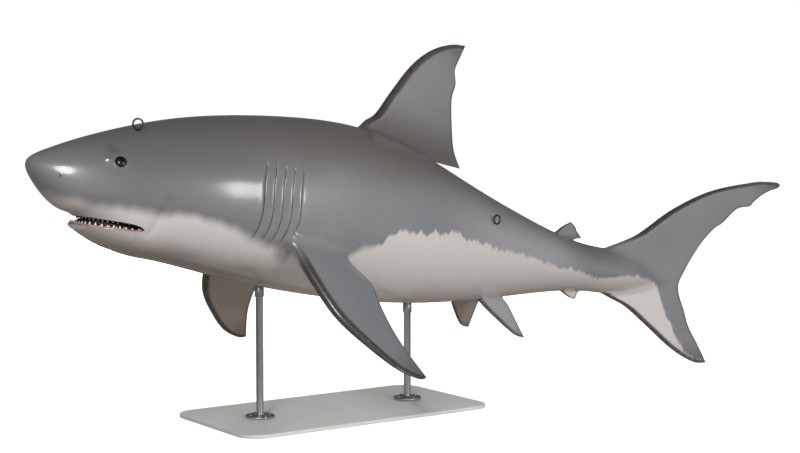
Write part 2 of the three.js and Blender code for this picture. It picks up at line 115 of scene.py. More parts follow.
# %% [markdown]
# ## The straight shark
#
# A bent fish is easiest to shape while it is straight. In the straight frame s is the distance
# back from the nose, y is sideways (minus is the shark's left) and z is the height over the spine,
# all in millimetres. Each station gives the section there: top, bottom, half-width, height of the
# widest level, and fullness, where 2 is an ellipse and more is boxier. A natural spline over the
# square root of s joins them, and the root rounds the nose.

# %% Stations
STATIONS = [
    (0, 19, 19, 0, 19, 2.0),
    (45, 65, -53, 76, 0, 2.0),
    (112, 101, -109, 125, -11, 2.1),
    (168, 129, -136, 156, -17, 2.15),
    (224, 155, -149, 181, -22, 2.2),
    (373, 217, -248, 231, -34, 2.3),
    (560, 282, -275, 278, -30, 2.3),
    (783, 337, -295, 317, -15, 2.3),
    (1044, 380, -316, 343, 0, 2.25),
    (1343, 401, -322, 349, 7, 2.2),
    (1641, 363, -311, 332, 7, 2.2),
    (1940, 275, -277, 293, 4, 2.15),
    (2238, 191, -222, 233, -4, 2.1),
    (2536, 122, -160, 166, -11, 1.95),
    (2779, 90, -126, 124, -15, 1.65),
    (2984, 80, -111, 100, -15, 1.4),
    (3200, 14, -44, 18, -15, 1.3),
]
CHIN_DROP = 49
CHIN_FRONT = (198, 236)     # where the chin steps down under the snout's line
CHIN_FADE = (226, 416)      # where it fades out along the throat
print("stations:", len(STATIONS), "over", STATIONS[-1][0], "mm")


# %% Lines through the stations
def natural_spline(xs, ys):
    """A natural cubic spline through the points, as a function of an array."""
    xs, ys = np.array(xs, float), np.array(ys, float)
    gap = np.diff(xs)
    rows, slopes = np.eye(len(xs)), np.zeros(len(xs))
    for i in range(1, len(xs) - 1):
        rows[i, i - 1 : i + 2] = gap[i - 1], 2 * (gap[i - 1] + gap[i]), gap[i]
        slopes[i] = 6 * ((ys[i + 1] - ys[i]) / gap[i] - (ys[i] - ys[i - 1]) / gap[i - 1])
    bend = np.linalg.solve(rows, slopes)

    def at(x):
        i = np.clip(np.searchsorted(xs, x, side="right") - 1, 0, len(xs) - 2)
        p, q = (xs[i + 1] - x) / gap[i], (x - xs[i]) / gap[i]
        sag = ((p**3 - p) * bend[i] + (q**3 - q) * bend[i + 1]) * gap[i] ** 2 / 6
        return p * ys[i] + q * ys[i + 1] + sag

    return at


def smoothstep(low, high, x):
    """0 below low, 1 above high, and a smooth rise between."""
    t = np.clip((x - low) / (high - low), 0, 1)
    return t * t * (3 - 2 * t)


station_roots = [math.sqrt(row[0]) for row in STATIONS]
COLUMNS = [natural_spline(station_roots, [row[k] for row in STATIONS]) for k in range(1, 6)]
print("lines along the body:", len(COLUMNS))


# %% Points of the body
def section(s, chin=0.0):
    """Top, bottom, half-width, widest level and fullness of the body at s."""
    root = np.sqrt(np.maximum(s, 0))
    top, bottom, half, middle, fullness = (column(root) for column in COLUMNS)
    drop = chin * CHIN_DROP * smoothstep(*CHIN_FRONT, s) * (1 - smoothstep(*CHIN_FADE, s))
    return top, bottom - drop, half, middle, fullness


def body_point(s, angle, chin=0.0, grow=0.0):
    """Points on the body, at an angle round each section from the right flank."""
    top, bottom, half, middle, fullness = section(s, chin)
    across, up = np.cos(angle), np.sin(angle)
    reach = np.where(up >= 0, top - middle, middle - bottom) + grow
    y = np.sign(across) * np.abs(across) ** (2 / fullness) * (half + grow)
    z = middle + np.sign(up) * np.abs(up) ** (2 / fullness) * reach
    return np.stack(np.broadcast_arrays(s, y, z), -1)


def half_width_at(s, z, chin=0.0):
    """Half the body's width at distance s and height z."""
    top, bottom, half, middle, fullness = section(s, chin)
    rise = np.where(z < middle, (middle - z) / (middle - bottom), (z - middle) / (top - middle))
    return half * (1 - np.clip(rise, 0, 1) ** fullness) ** (1 / fullness)


def height_over_body(points):
    """About how far points of the straight frame lie outside the body."""
    s, y, z = np.moveaxis(points, -1, 0)
    end = STATIONS[-1][0]
    top, bottom, half, middle, fullness = section(np.minimum(s, end))
    reach = np.where(z >= middle, top - middle, middle - bottom)
    across, up = np.abs(y) / half + 1e-6, np.abs(z - middle) / reach + 1e-6
    level = (across**fullness + up**fullness) ** (1 / fullness)
    steep = np.hypot(across ** (fullness - 1) / half, up ** (fullness - 1) / reach)
    return (level - 1) / (steep * level ** (1 - fullness)) + np.maximum(s - end, 0)


print("widest section: %.0f mm" % (2 * section(np.arange(0, STATIONS[-1][0]))[2].max()))

# %% [markdown]
# ## The pose
#
# The statue hangs nose up, with the tail swung to its left. The spine is followed in short steps,
# and every finished point is carried from the straight frame to its place along that spine.

# %% Spine
NOSE_UP = math.radians(10.5)
TAIL_SWING = math.radians(15)
BEND_START, BEND_RUN = 1490, 2240
SPINE_STEP, SPINE_END = 10, 3900
OVER_BASE, SPINE_HEIGHT = 1370, 806       # the place on the spine that stands over the base

spine_s = np.arange(0, SPINE_END + SPINE_STEP, SPINE_STEP, float)
spine_turn = -TAIL_SWING * (np.maximum(spine_s - BEND_START, 0) / BEND_RUN) ** 2
spine_back = np.stack([
    np.cos(spine_turn) * math.cos(NOSE_UP),
    np.sin(spine_turn) * math.cos(NOSE_UP),
    np.full_like(spine_s, -math.sin(NOSE_UP)),
], -1)
spine_point = np.concatenate([np.zeros((1, 3)), np.cumsum(spine_back[:-1] * SPINE_STEP, 0)])
spine_point -= spine_point[OVER_BASE // SPINE_STEP]
print("the tail turns %.1f degrees" % -math.degrees(spine_turn[-1]))


# %% From straight to posed
def place(points):
    """Carries points (s, y, z) in millimetres to the posed statue, in metres."""
    s, y, z = np.moveaxis(np.asarray(points, float), -1, 0)
    i = np.clip(np.floor(s / SPINE_STEP).astype(int), 0, len(spine_s) - 2)
    blend = s / SPINE_STEP - i
    turn = spine_turn[i] * (1 - blend) + spine_turn[i + 1] * blend
    mix = blend[..., None]
    back = spine_back[i] * (1 - mix) + spine_back[i + 1] * mix
    back /= np.linalg.norm(back, axis=-1, keepdims=True)
    right = np.stack([-np.sin(turn), np.cos(turn), np.zeros_like(turn)], -1)
    up = np.cross(back, right)
    middle = spine_point[i] * (1 - mix) + spine_point[i + 1] * mix
    return (middle + right * y[..., None] + up * z[..., None] + (0, 0, SPINE_HEIGHT)) * MM


nose = place([0, 0, STATIONS[0][1]])
print("nose %.1f mm from the frame's" % (1000 * abs(nose[0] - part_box("head")[0].x)))

# %% [markdown]
# ## Mesh helpers
#
# Most pieces are stacks of rings, such as a body, a fin or a turned collar. One helper closes a
# stack into a shell, one makes an object of it, and one joins or cuts two shells. The Manifold
# solver keeps shells closed. Faces carry a material index, so that a joint can be found again.

# %% Points and rings
def full_turn(count):
    """Angles spaced evenly round a circle."""
    return np.linspace(0, 2 * np.pi, count, endpoint=False)


def coordinates(obj):
    """An object's points as an array."""
    flat = np.empty(len(obj.data.vertices) * 3)
    obj.data.vertices.foreach_get("co", flat)
    return flat.reshape(-1, 3)


def move_points(obj, points):
    """Moves an object's points to new places."""
    obj.data.vertices.foreach_set("co", np.asarray(points).ravel())


def stacked(rings):
    """Points and faces of a closed shell over a stack of rings, with a fan on each end."""
    rings = np.asarray(rings, float)
    rows, around = rings.shape[:2]
    points = np.concatenate([rings.reshape(-1, 3), rings[:1].mean(1), rings[-1:].mean(1)])
    column = np.arange(around)
    ahead = (column + 1) % around
    faces = []
    for row in range(rows - 1):
        low, high = row * around, (row + 1) * around
        faces += np.stack([low + column, low + ahead, high + ahead, high + column], -1).tolist()
    first, last = rows * around, rows * around + 1
    faces += [[b, a, first] for a, b in zip(column.tolist(), ahead.tolist())]
    top = (rows - 1) * around
    faces += [[top + a, top + b, last] for a, b in zip(column.tolist(), ahead.tolist())]
    return points, faces


print("a stack of two squares has", len(stacked(np.zeros((2, 4, 3)))[1]), "faces")

# %% Meshes
SHELL, FIN, MOUTH, SOCKET = range(4)      # what a face of the skin was made as
kind_markers = [bpy.data.materials.new("kind_%d" % kind) for kind in range(4)]


@contextmanager
def edited(mesh):
    """Opens a mesh for merging and cutting, and writes it back afterwards."""
    bm = bmesh.new()
    bm.from_mesh(mesh)
    yield bm
    bm.to_mesh(mesh)
    bm.free()


def shell(name, points, faces, kind=None, merge=1e-3):
    """A closed mesh object with its doubles merged and its faces turned out."""
    mesh = bpy.data.meshes.new(name)
    mesh.from_pydata(np.asarray(points).tolist(), [], faces)
    with edited(mesh) as bm:
        bmesh.ops.remove_doubles(bm, verts=bm.verts, dist=merge)
        bmesh.ops.dissolve_degenerate(bm, edges=bm.edges, dist=merge / 10)
        bmesh.ops.recalc_face_normals(bm, faces=bm.faces)
        for face in bm.faces:
            face.material_index = kind or 0
            face.smooth = True
    for marker in kind_markers if kind is not None else []:
        mesh.materials.append(marker)
    return in_scene(name, mesh)


print("kinds of face on the skin:", len(kind_markers))


# %% Joining and measuring
def applied(obj):
    """Turns an object's modifiers into plain mesh."""
    graph = bpy.context.evaluated_depsgraph_get()
    fresh = bpy.data.meshes.new_from_object(obj.evaluated_get(graph), depsgraph=graph)
    obj.modifiers.clear()
    obj.data = fresh
    return obj


def combined(obj, tool, operation):
    """Joins the tool to the object, or cuts it away, and removes the tool."""
    boolean = obj.modifiers.new(operation, "BOOLEAN")
    boolean.solver = "MANIFOLD"
    boolean.operation = operation
    boolean.object = tool
    applied(obj)
    bpy.data.objects.remove(tool)
    return obj


def triangles(obj):
    """How many triangles an object's faces make."""
    return sum(len(face.vertices) - 2 for face in obj.data.polygons)


print("mesh helpers ready")

# %% [markdown]
# ## The skin's relief
#
# The casting has shallow shapes that the sections can't give: five gill slits with a raised flap
# before each, the rims of the eyes with a teardrop dent in front, the nostrils, and the fold that
# climbs behind each corner of the mouth. Each is a height over the plain surface, worked out from
# the distance to a line or a spot, so it is real shape and not a painted shadow.

# %% Gills
GILLS = {"first": 831, "pitch": 39, "count": 5, "top": 180, "bottom": -140}
FLAP = {"lift": 8, "run": 0.86, "tuck": 0.42, "lip": 11}
FIRST_FLAP = {"run": 2.6, "rise": 0.4}      # the first flap is longer and lower
SLIT = {"depth": 9, "at": 2.2, "width": 2.4}
DIP = {"depth": 2.5, "at": 8, "width": 7, "last": 0.8}
gill_sweep = natural_spline([-170, -140, -60, 0, 90, 180, 230], [-26, -17, 0, 1, -4, 6, 10])


def bell(x, middle, width):
    """1 at the middle, falling away on both sides."""
    return np.exp(-(((x - middle) / width) ** 2))


def gill_relief(q, z):
    """A flap that rises towards each slit, and the slit that cuts down behind it."""
    bottom, top = GILLS["bottom"], GILLS["top"]
    inner = smoothstep(bottom - 8, bottom + 34, z) * (1 - smoothstep(top - 60, top + 8, z))
    ends = smoothstep(bottom - 4, bottom + 12, z) * (1 - smoothstep(top - 40, top + 4, z))
    height = np.zeros_like(q)
    for slit in range(GILLS["count"]):
        x = q - GILLS["first"] - slit * GILLS["pitch"]
        run, rise = (FIRST_FLAP["run"], FIRST_FLAP["rise"]) if slit == 0 else (FLAP["run"], 1)
        flap = rise * np.clip(1 + x / (run * GILLS["pitch"]), 0, 1) ** 1.6
        flap -= FLAP["tuck"] * np.clip(1 + x / FLAP["lip"], 0, 1) ** 2
        dip = DIP["last"] if slit == GILLS["count"] - 1 else DIP["depth"]
        height += FLAP["lift"] * flap * inner * (x <= 0)
        height -= SLIT["depth"] * bell(x, SLIT["at"], SLIT["width"]) * ends * (x > -0.5)
        height -= dip * bell(x, DIP["at"], DIP["width"]) * inner * (x > 0)
    return height


print("gill slits:", GILLS["count"], "on each side")

# %% Eye
EYE = {"s": 285, "z": 71, "radius": 28, "bulge": 23, "sink": 14, "opening": (22.6, 21.4)}
RIM = {"radius": 25.0, "lift": 1.3, "width": 4.0}
EYE_REACH = 120
EYE_MOUNDS = (              # middle (forwards, up), size, lift and lean
    ((40, 8), (16, 11), 5.5, 0.2),          # the teardrop in front
    ((26, 4), (9, 10), -2.0, 0),            # the dent between it and the rim
    ((-2, 34), (34, 11), 2.2, 0),           # the brow
    ((4, -36), (34, 13), -1.8, 0),          # the hollow below
)


def eye_frame():
    """The eye's middle on the straight skin, and its directions out, forwards and up."""
    s, z = EYE["s"], EYE["z"]
    step = 5
    ahead = half_width_at(s + step, z) - half_width_at(s - step, z)
    above = half_width_at(s, z + step) - half_width_at(s, z - step)
    out = np.array([-ahead / (2 * step), 1, -above / (2 * step)])
    out /= np.linalg.norm(out)
    forwards = np.array([-1, 0, 0]) + out[0] * out
    forwards /= np.linalg.norm(forwards)
    up = np.cross(out, forwards)
    return np.array([s, half_width_at(s, z), z]), out, forwards, up * np.sign(up[2])


EYE_MIDDLE, EYE_OUT, EYE_FORWARDS, EYE_UP = eye_frame()


def eye_relief(points):
    """The raised rim round each eye, and the mounds and dents about it."""
    away = points * (1, 0, 1) + np.abs(points) * (0, 1, 0) - EYE_MIDDLE
    a, b = away @ EYE_FORWARDS, away @ EYE_UP
    height = RIM["lift"] * bell(np.hypot(a, b), RIM["radius"], RIM["width"])
    for (ahead, above), (long, high), lift, lean in EYE_MOUNDS:
        height += lift * bell(a, ahead, long) * bell(b - lean * (a - ahead), above, high)
    return np.where(np.linalg.norm(away, axis=1) < EYE_REACH, height, 0)


print("eye faces", tuple(round(float(c), 2) for c in EYE_OUT))

# %% Grooves
NOSTRIL = {"line": [(86, -10), (90, -13), (88, -18), (93, -22), (92, -27)],
           "width": 2.0, "depth": 6.0, "rim": 1.8}
FOLD = {"line": [(424, -196), (436, -172), (446, -140), (451, -100), (458, -62), (472, -20)],
        "width": 16.0, "depth": 7.0, "rim": 0}
TEMPLE = {"line": [(330, 96), (360, 84), (392, 60)], "width": 16.0, "depth": 1.6, "rim": 0}
OFF_MIDDLE = 20             # a groove is only cut on the sides


def line_distance(points, line):
    """Distance from points in the (s, z) plane to a bent line, and how far along it that is."""
    best = np.full(len(points), 1e9)
    along = np.zeros(len(points))
    line = np.array(line, float)
    for i, (a, b) in enumerate(zip(line[:-1], line[1:])):
        t = np.clip(((points - a) @ (b - a)) / ((b - a) @ (b - a)), 0, 1)
        gap = np.linalg.norm(points - (a + t[:, None] * (b - a)), axis=1)
        along = np.where(gap < best, (i + t) / (len(line) - 1), along)
        best = np.minimum(best, gap)
    return best, along


def groove_relief(points, groove):
    """A groove along a line on both sides of the head, with raised lips."""
    gap, along = line_distance(points[:, (0, 2)], groove["line"])
    fade = np.sin(np.pi * along) ** 0.7
    cut = groove["depth"] * bell(gap, 0, groove["width"])
    lips = groove["rim"] * bell(gap, 2 * groove["width"], groove["width"])
    return (lips - cut) * fade * (np.abs(points[:, 1]) > OFF_MIDDLE)


def relief(q, points):
    """The height of every shallow shape over the plain body."""
    grooves = sum(groove_relief(points, groove) for groove in (NOSTRIL, FOLD, TEMPLE))
    return gill_relief(q, points[:, 2]) + eye_relief(points) + grooves


print("grooves on each side: nostril, mouth fold, temple")

# %% [markdown]
# ## The body
#
# The body starts as a flat sheet of (s, angle). A sheet is easy to refine: faces near the eyes,
# nostrils, lips and folds are cut into four while they are flat, and only then is the sheet
# wrapped round the sections. Rows are gathered at the gill slits and bent to follow their sweep,
# which keeps the edge of each flap crisp.

# %% Rows and columns
COLUMNS_ROUND = 124
FLAT_SCALE = 200            # makes an angle about as long as its arc
ROW_GAP = ((0, 1.2), (30, 4), (120, 9), (500, 9.5), (700, 17), (3200, 17))
SLIT_ROWS = (-12, -7, -3, -0.6, 0.4, 1.6, 3.2, 5.5, 9, 15)
BODY_END = STATIONS[-1][0]
LAST_GAP = 9                # the last row before the end stands at least this far from it
CLEAR_OF_SLIT = 18


def row_places():
    """Where the body's rows stand, close at the nose and at every gill slit."""
    rows = [0.0]
    while rows[-1] < BODY_END - LAST_GAP:
        rows.append(rows[-1] + np.interp(rows[-1], *zip(*ROW_GAP)))
    slits = [GILLS["first"] + GILLS["pitch"] * i for i in range(GILLS["count"])]
    kept = [r for r in rows if min(abs(r - slit) for slit in slits) > CLEAR_OF_SLIT]
    kept += [slit + offset for slit in slits for offset in SLIT_ROWS]
    return np.array(sorted(kept + [BODY_END]))


def even_angles(count, fullness=2.25):
    """Angles that stand evenly round a section of that fullness, from the back round again."""
    turn = np.pi / 2 + np.linspace(0, 2 * np.pi, count + 1)
    across, up = np.cos(turn), np.sin(turn)
    rounded = np.arctan2(np.sign(up) * np.abs(up) ** (fullness / 2),
                         np.sign(across) * np.abs(across) ** (fullness / 2))
    return np.unwrap(rounded)


print("rows:", len(row_places()), "columns:", COLUMNS_ROUND)

# %% Fine places
UPPER_LIP, LOWER_LIP = -149, -183
FACE = {"s": (40, 500), "z": (-215, 140), "off_middle": 25}      # cut once, round the whole face
FINE = {"eye": 62, "nostril": 26, "fold": 16, "lip": 12}          # cut twice, within this distance
WHOLE_EYE = 90


def swept(sheet):
    """Points of the plain body for a sheet of (q, angle), with the rows bent along the gills."""
    q, angle = sheet.T
    z = body_point(q, angle)[:, 2]
    window = smoothstep(720, 815, q) * (1 - smoothstep(1005, 1110, q))
    level = np.clip(z, -170, 230)
    s = q + gill_sweep(level) * window * smoothstep(-200, -150, z) * smoothstep(290, 220, z)
    return body_point(s, angle)


def near_detail(sheet, level):
    """Which places on the sheet need faces cut small."""
    points = swept(sheet)
    s, y, z = points.T
    eye = np.hypot(s - EYE["s"] + 10, z - EYE["z"])
    if level == 0:
        (front, back), (low, high) = FACE["s"], FACE["z"]
        face = (s > front) & (s < back) & (z > low) & (z < high) & (np.abs(y) > FACE["off_middle"])
        return face | (eye < WHOLE_EYE)
    nostril = np.hypot(s - 89, z + 16)
    fold = line_distance(points[:, (0, 2)], FOLD["line"])[0]
    lips = (s > 185) & (s < 440) & (np.abs(z - UPPER_LIP - 4) < FINE["lip"])
    return (eye < FINE["eye"]) | (nostril < FINE["nostril"]) | (fold < FINE["fold"]) | lips


def cut_fine(bm, level):
    """Cuts every wanted face of the flat sheet into four."""
    faces = list(bm.faces)
    middles = np.array([face.calc_center_median() for face in faces])[:, :2] / (1, FLAT_SCALE)
    wanted = near_detail(middles, level)
    edges = {edge for face, want in zip(faces, wanted) if want for edge in face.edges}
    bmesh.ops.subdivide_edges(bm, edges=list(edges), cuts=1, use_grid_fill=True)


print("fine places:", ", ".join(FINE))


# %% Body
def refined_sheet():
    """The flat sheet of (s, angle), cut fine where the face needs it."""
    rows, angles = row_places(), even_angles(COLUMNS_ROUND)
    q, angle = np.meshgrid(rows, angles, indexing="ij")
    flat = np.stack([q.ravel(), angle.ravel() * FLAT_SCALE, np.zeros(q.size)], -1)
    i, j = np.meshgrid(np.arange(len(rows) - 1), np.arange(len(angles) - 1), indexing="ij")
    corner = (i * len(angles) + j).ravel()
    width = len(angles)
    faces = np.stack([corner, corner + 1, corner + width + 1, corner + width], -1)
    mesh = bpy.data.meshes.new("sheet")
    mesh.from_pydata(flat.tolist(), [], faces.tolist())
    with edited(mesh) as bm:
        for level in (0, 1):
            cut_fine(bm, level)
    return bpy.data.objects.new("sheet", mesh)


def body_shell():
    """The plain body with its relief, closed at the nose and the tail."""
    flat = refined_sheet()
    sheet = coordinates(flat)[:, :2] / (1, FLAT_SCALE)
    points = swept(sheet)
    ahead = swept(sheet + (1, 0)) - swept(np.maximum(sheet - (1, 0), (0, -9)))
    around = swept(sheet + (0, 0.01)) - swept(sheet - (0, 0.01))
    normal = np.cross(around, ahead)
    normal /= np.maximum(np.linalg.norm(normal, axis=1, keepdims=True), 1e-9)
    outwards = np.sign((normal * points * (0, 1, 1)).sum(1, keepdims=True) + 1e-9)
    points = points + normal * outwards * relief(sheet[:, 0], points)[:, None]
    polygons = [list(face.vertices) for face in flat.data.polygons]
    rim = np.flatnonzero(sheet[:, 0] > BODY_END - 0.5)
    rim = rim[np.argsort(sheet[rim, 1])]
    polygons.append(rim[:-1].tolist())
    return shell("painted_skin", points, polygons, kind=SHELL)


skin = body_shell()
print("body:", triangles(skin), "triangles")

# %% [markdown]
# ## The mouth
#
# The mouth is a flat wedge, cut from the front lips back to the two corners. The lower jaw is
# fuller than the snout's line, so it is a length of its own with the chin dropped, joined under
# the cut. A broad dark tongue closes the mouth behind the teeth, so that no light shows through.

# %% Lips
LIP_FRONT = 150
UPPER_LINE = ((336, UPPER_LIP), (372, -151), (395, -156.5), (412, -165))
LOWER_LINE = ((261, LOWER_LIP), (340, -179), (384, -176.5), (403, -172.5), (412, -165))
LIP_THICK, LIP_THIN_RUN = 6, 40         # the opening is cut lower by this, less at the corner
REACH = 400                             # past the widest flank, so that a cut goes right through


def upper_plane(s):
    """Height of the upper lip at s."""
    return np.interp(s, *zip(*UPPER_LINE))


def lower_plane(s):
    """Height of the lower lip at s."""
    return np.interp(s, *zip(*LOWER_LINE))


def prism(outline, kind=MOUTH):
    """A bar across the shark from an outline of (s, z)."""
    rings = [[(s, side * REACH, z) for s, z in outline] for side in (-1, 1)]
    count = len(outline)
    points = np.array(rings).reshape(-1, 3)
    faces = [[i, (i + 1) % count, count + (i + 1) % count, count + i] for i in range(count)]
    faces += [list(range(count))[::-1], list(range(count, 2 * count))]
    return shell("bar", points, faces, kind=kind)


print("mouth opens %d mm in front" % (UPPER_LIP - LOWER_LIP))

# %% Jaw and tongue
JAW_ROWS = np.arange(160, 426, 4.0)
JAW_SINK = {"depth": 9.0, "run": (386, 420)}
ABOVE_ALL, BEHIND_JAW = 400, 460
TONGUE = {"ends": (236, 408), "inset": 32, "tip": 22, "sunk": 3, "clear": 1,
          "low": 11, "rise": (258, 285)}


def jaw_length():
    """The lower jaw with its dropped chin, slimmer where it runs on inside the throat."""
    grow = -JAW_SINK["depth"] * smoothstep(*JAW_SINK["run"], JAW_ROWS)
    angles = even_angles(COLUMNS_ROUND)[:-1]
    rings = [body_point(np.full_like(angles, s), angles, chin=1.0, grow=g)
             for s, g in zip(JAW_ROWS, grow)]
    jaw = shell("jaw", *stacked(rings), kind=SHELL)
    above = [(LIP_FRONT, LOWER_LIP), *LOWER_LINE, (BEHIND_JAW, LOWER_LINE[-1][1]),
             (BEHIND_JAW, ABOVE_ALL), (LIP_FRONT, ABOVE_ALL)]
    return combined(jaw, prism(above), "DIFFERENCE")


def tongue():
    """The dark tongue that fills the mouth behind the teeth, from the jaw up to the palate."""
    turn = full_turn(48)
    across = np.sign(np.cos(turn)) * np.abs(np.cos(turn)) ** 0.5
    up = np.sign(np.sin(turn)) * np.abs(np.sin(turn)) ** 0.5
    rings = []
    for s in np.linspace(*TONGUE["ends"], 40):
        lips = min(half_width_at(s, LOWER_LIP, 1.0), half_width_at(s, UPPER_LIP))
        tip = math.sqrt(min(1, (s - TONGUE["ends"][0] + 1) / TONGUE["tip"]))
        low, high = lower_plane(s) - TONGUE["sunk"], upper_plane(s) - TONGUE["clear"]
        high -= TONGUE["low"] * (1 - smoothstep(*TONGUE["rise"], s))
        rings.append(np.stack([np.full_like(turn, s), across * (lips - TONGUE["inset"]) * tip,
                               (low + high) / 2 + up * (high - low) / 2], -1))
    return shell("tongue", *stacked(rings), kind=MOUTH)


print("jaw rows:", len(JAW_ROWS))

# %% Opening the mouth
corner = LOWER_LINE[-1][0]
below = [(s, z - LIP_THICK * min(1, (corner - s) / LIP_THIN_RUN)) for s, z in LOWER_LINE[-2::-1]]
opening = [(LIP_FRONT, UPPER_LIP), *UPPER_LINE, *below, (LIP_FRONT, LOWER_LIP - LIP_THICK)]
combined(skin, prism(opening), "DIFFERENCE")
combined(skin, jaw_length(), "UNION")
combined(skin, tongue(), "UNION")
print("with the mouth:", triangles(skin), "triangles")

# %% [markdown]
# ## Eye sockets
#
# A glass eye sits in a round opening, so the rim has to be crisp. The raised lid came with the
# relief, and a short plug cuts the opening through it.

# %% Sockets
PLUG_DEPTHS = (20, 8, 2, -4, -12)       # from in front of the skin to well behind it


def socket_plug(side):
    """A plug with the opening's oval section."""
    turn = full_turn(56)[:, None]
    wide, high = EYE["opening"]
    oval = EYE_FORWARDS * np.cos(turn) * wide + EYE_UP * np.sin(turn) * high
    rings = [EYE_MIDDLE + EYE_OUT * depth + oval for depth in PLUG_DEPTHS]
    return shell("plug", *stacked(np.array(rings) * (1, side, 1)), kind=SOCKET)


for side in (-1, 1):
    combined(skin, socket_plug(side), "DIFFERENCE")
print("with the sockets:", triangles(skin), "triangles")

# %% [markdown]
# ## The fins
#
# Each fin runs between a leading and a trailing outline, with a wing's section between them. The
# paired fins lie in drooping planes. Where a fin meets the body it swells into a fillet, as a
# casting does, because a mould can't hold a sharp inside corner.

# %% Fin outlines
DORSAL = {
    "leading": [(1385, 350), (1442, 432), (1496, 478), (1560, 588), (1640, 712), (1730, 797),
                (1830, 844), (1908, 855)],
    "trailing": [(1979, 320), (1930, 395), (1900, 498), (1879, 610), (1887, 680), (1872, 738),
                 (1890, 800), (1908, 855)],
    "thick": (26, 5), "fillet": 17, "rows": 56, "around": 42,
}
SECOND_DORSAL = {
    "leading": [(2500, 70), (2567, 125), (2603, 155), (2645, 181)],
    "trailing": [(2721, 116), (2689, 144), (2672, 165), (2645, 181)],
    "thick": (9, 3), "fillet": 7, "rows": 24, "around": 28,
}
ANAL = {
    "leading": [(2585, -95), (2645, -141), (2690, -162), (2733, -171)],
    "trailing": [(2775, -122), (2752, -136), (2744, -152), (2733, -171)],
    "thick": (9, 3), "fillet": 7, "rows": 24, "around": 28,
}
CAUDAL = {
    "leading": [(3561, -377), (3485, -383), (3347, -336), (3159, -232), (3033, -166), (2890, -122),
                (2800, -60), (2775, 0), (2800, 55), (2890, 100), (3043, 181), (3220, 328),
                (3421, 451), (3647, 532), (3728, 550), (3791, 556), (3810, 547)],
    "trailing": [(3561, -377), (3508, -311), (3425, -216), (3385, -145), (3328, -39), (3352, 56),
                 (3418, 192), (3479, 276), (3521, 311), (3589, 391), (3657, 416), (3678, 441),
                 (3713, 478), (3757, 510), (3796, 529), (3810, 547)],
    "thick": (24, 5), "fillet": 14, "rows": 116, "around": 36, "tips": 2,
}
PECTORAL = {
    "leading": [(950, 95), (985, 171), (1026, 305), (1096, 471), (1212, 603), (1314, 688),
                (1405, 722), (1442, 712)],
    "trailing": [(1240, 120), (1250, 190), (1306, 258), (1326, 300), (1334, 404), (1353, 500),
                 (1383, 588), (1442, 712)],
    "thick": (25, 5), "fillet": 10, "rows": 60, "around": 38,
    "droop": math.radians(48.7), "start": (224, -26),
}
PELVIC = {
    "leading": [(2060, 20), (2098, 73), (2166, 153), (2255, 238), (2312, 252)],
    "trailing": [(2240, 20), (2271, 82), (2285, 134), (2300, 202), (2312, 252)],
    "thick": (11, 3), "fillet": 9, "rows": 36, "around": 30,
    "droop": math.radians(52.5), "start": (56, -172),
}
FINS = ((DORSAL, (1,)), (SECOND_DORSAL, (1,)), (ANAL, (1,)), (CAUDAL, (1,)),
        (PECTORAL, (-1, 1)), (PELVIC, (-1, 1)))     # each with the sides it stands on
print("fins:", sum(len(sides) for _, sides in FINS))

# %% A fin's plane and section
FIN_EDGE = 1.2              # half the thickness of a fin's edge
FIN_NOSE = 1.35             # how far back a fin's blunt nose runs, over half its thickness
THIN_WIDTH = 8              # a fin narrower than this many times its thickness is thinner


def outline(points, count):
    """A smooth line through the points, at evenly spaced places along it."""
    points = np.array(points, float)
    padded = np.concatenate([points[:1], points, points[-1:]])
    t = np.linspace(0, len(points) - 1, 400)
    i = np.minimum(t.astype(int), len(points) - 2)
    w = (t - i)[:, None]
    before, here, there, after = (padded[i + k] for k in range(4))
    leave, arrive = (there - before) / 2, (after - here) / 2
    line = (2 * here - 2 * there + leave + arrive) * w**3
    line += (3 * there - 3 * here - 2 * leave - arrive) * w**2 + leave * w + here
    length = np.concatenate([[0], np.cumsum(np.linalg.norm(np.diff(line, axis=0), axis=1))])
    even = np.linspace(0, length[-1], count)
    return np.stack([np.interp(even, length, line[:, k]) for k in (0, 1)], -1)


def foil(u, width, thick):
    """Half-thickness, 0 to 1: a blunt round nose, then a flat face that thins to the rear."""
    nose = np.clip(u * width / np.minimum(FIN_NOSE * thick + 1e-6, width / 3 + 1e-6), 0, 1)
    return np.sqrt(1 - (1 - nose) ** 2) * (1 - u) ** 0.8 * (1 + 0.8 * u)


def in_plane(fin, side, flat, off):
    """Points of the straight frame for places in a fin's plane and their distance off it."""
    s, reach = np.moveaxis(flat, -1, 0)
    if "droop" not in fin:
        return np.stack([s, off, reach], -1)
    y0, z0 = fin["start"]
    y = side * (y0 + reach * math.cos(fin["droop"]) + off * math.sin(fin["droop"]))
    z = z0 - reach * math.sin(fin["droop"]) + off * math.cos(fin["droop"])
    return np.stack([s, y, z], -1)


print("a fin is %.1f mm thick at its edges" % (2 * FIN_EDGE))

# %% Fins on the body
fin_marks = []              # what the paint needs: points, edge distances, tip and side of each fin


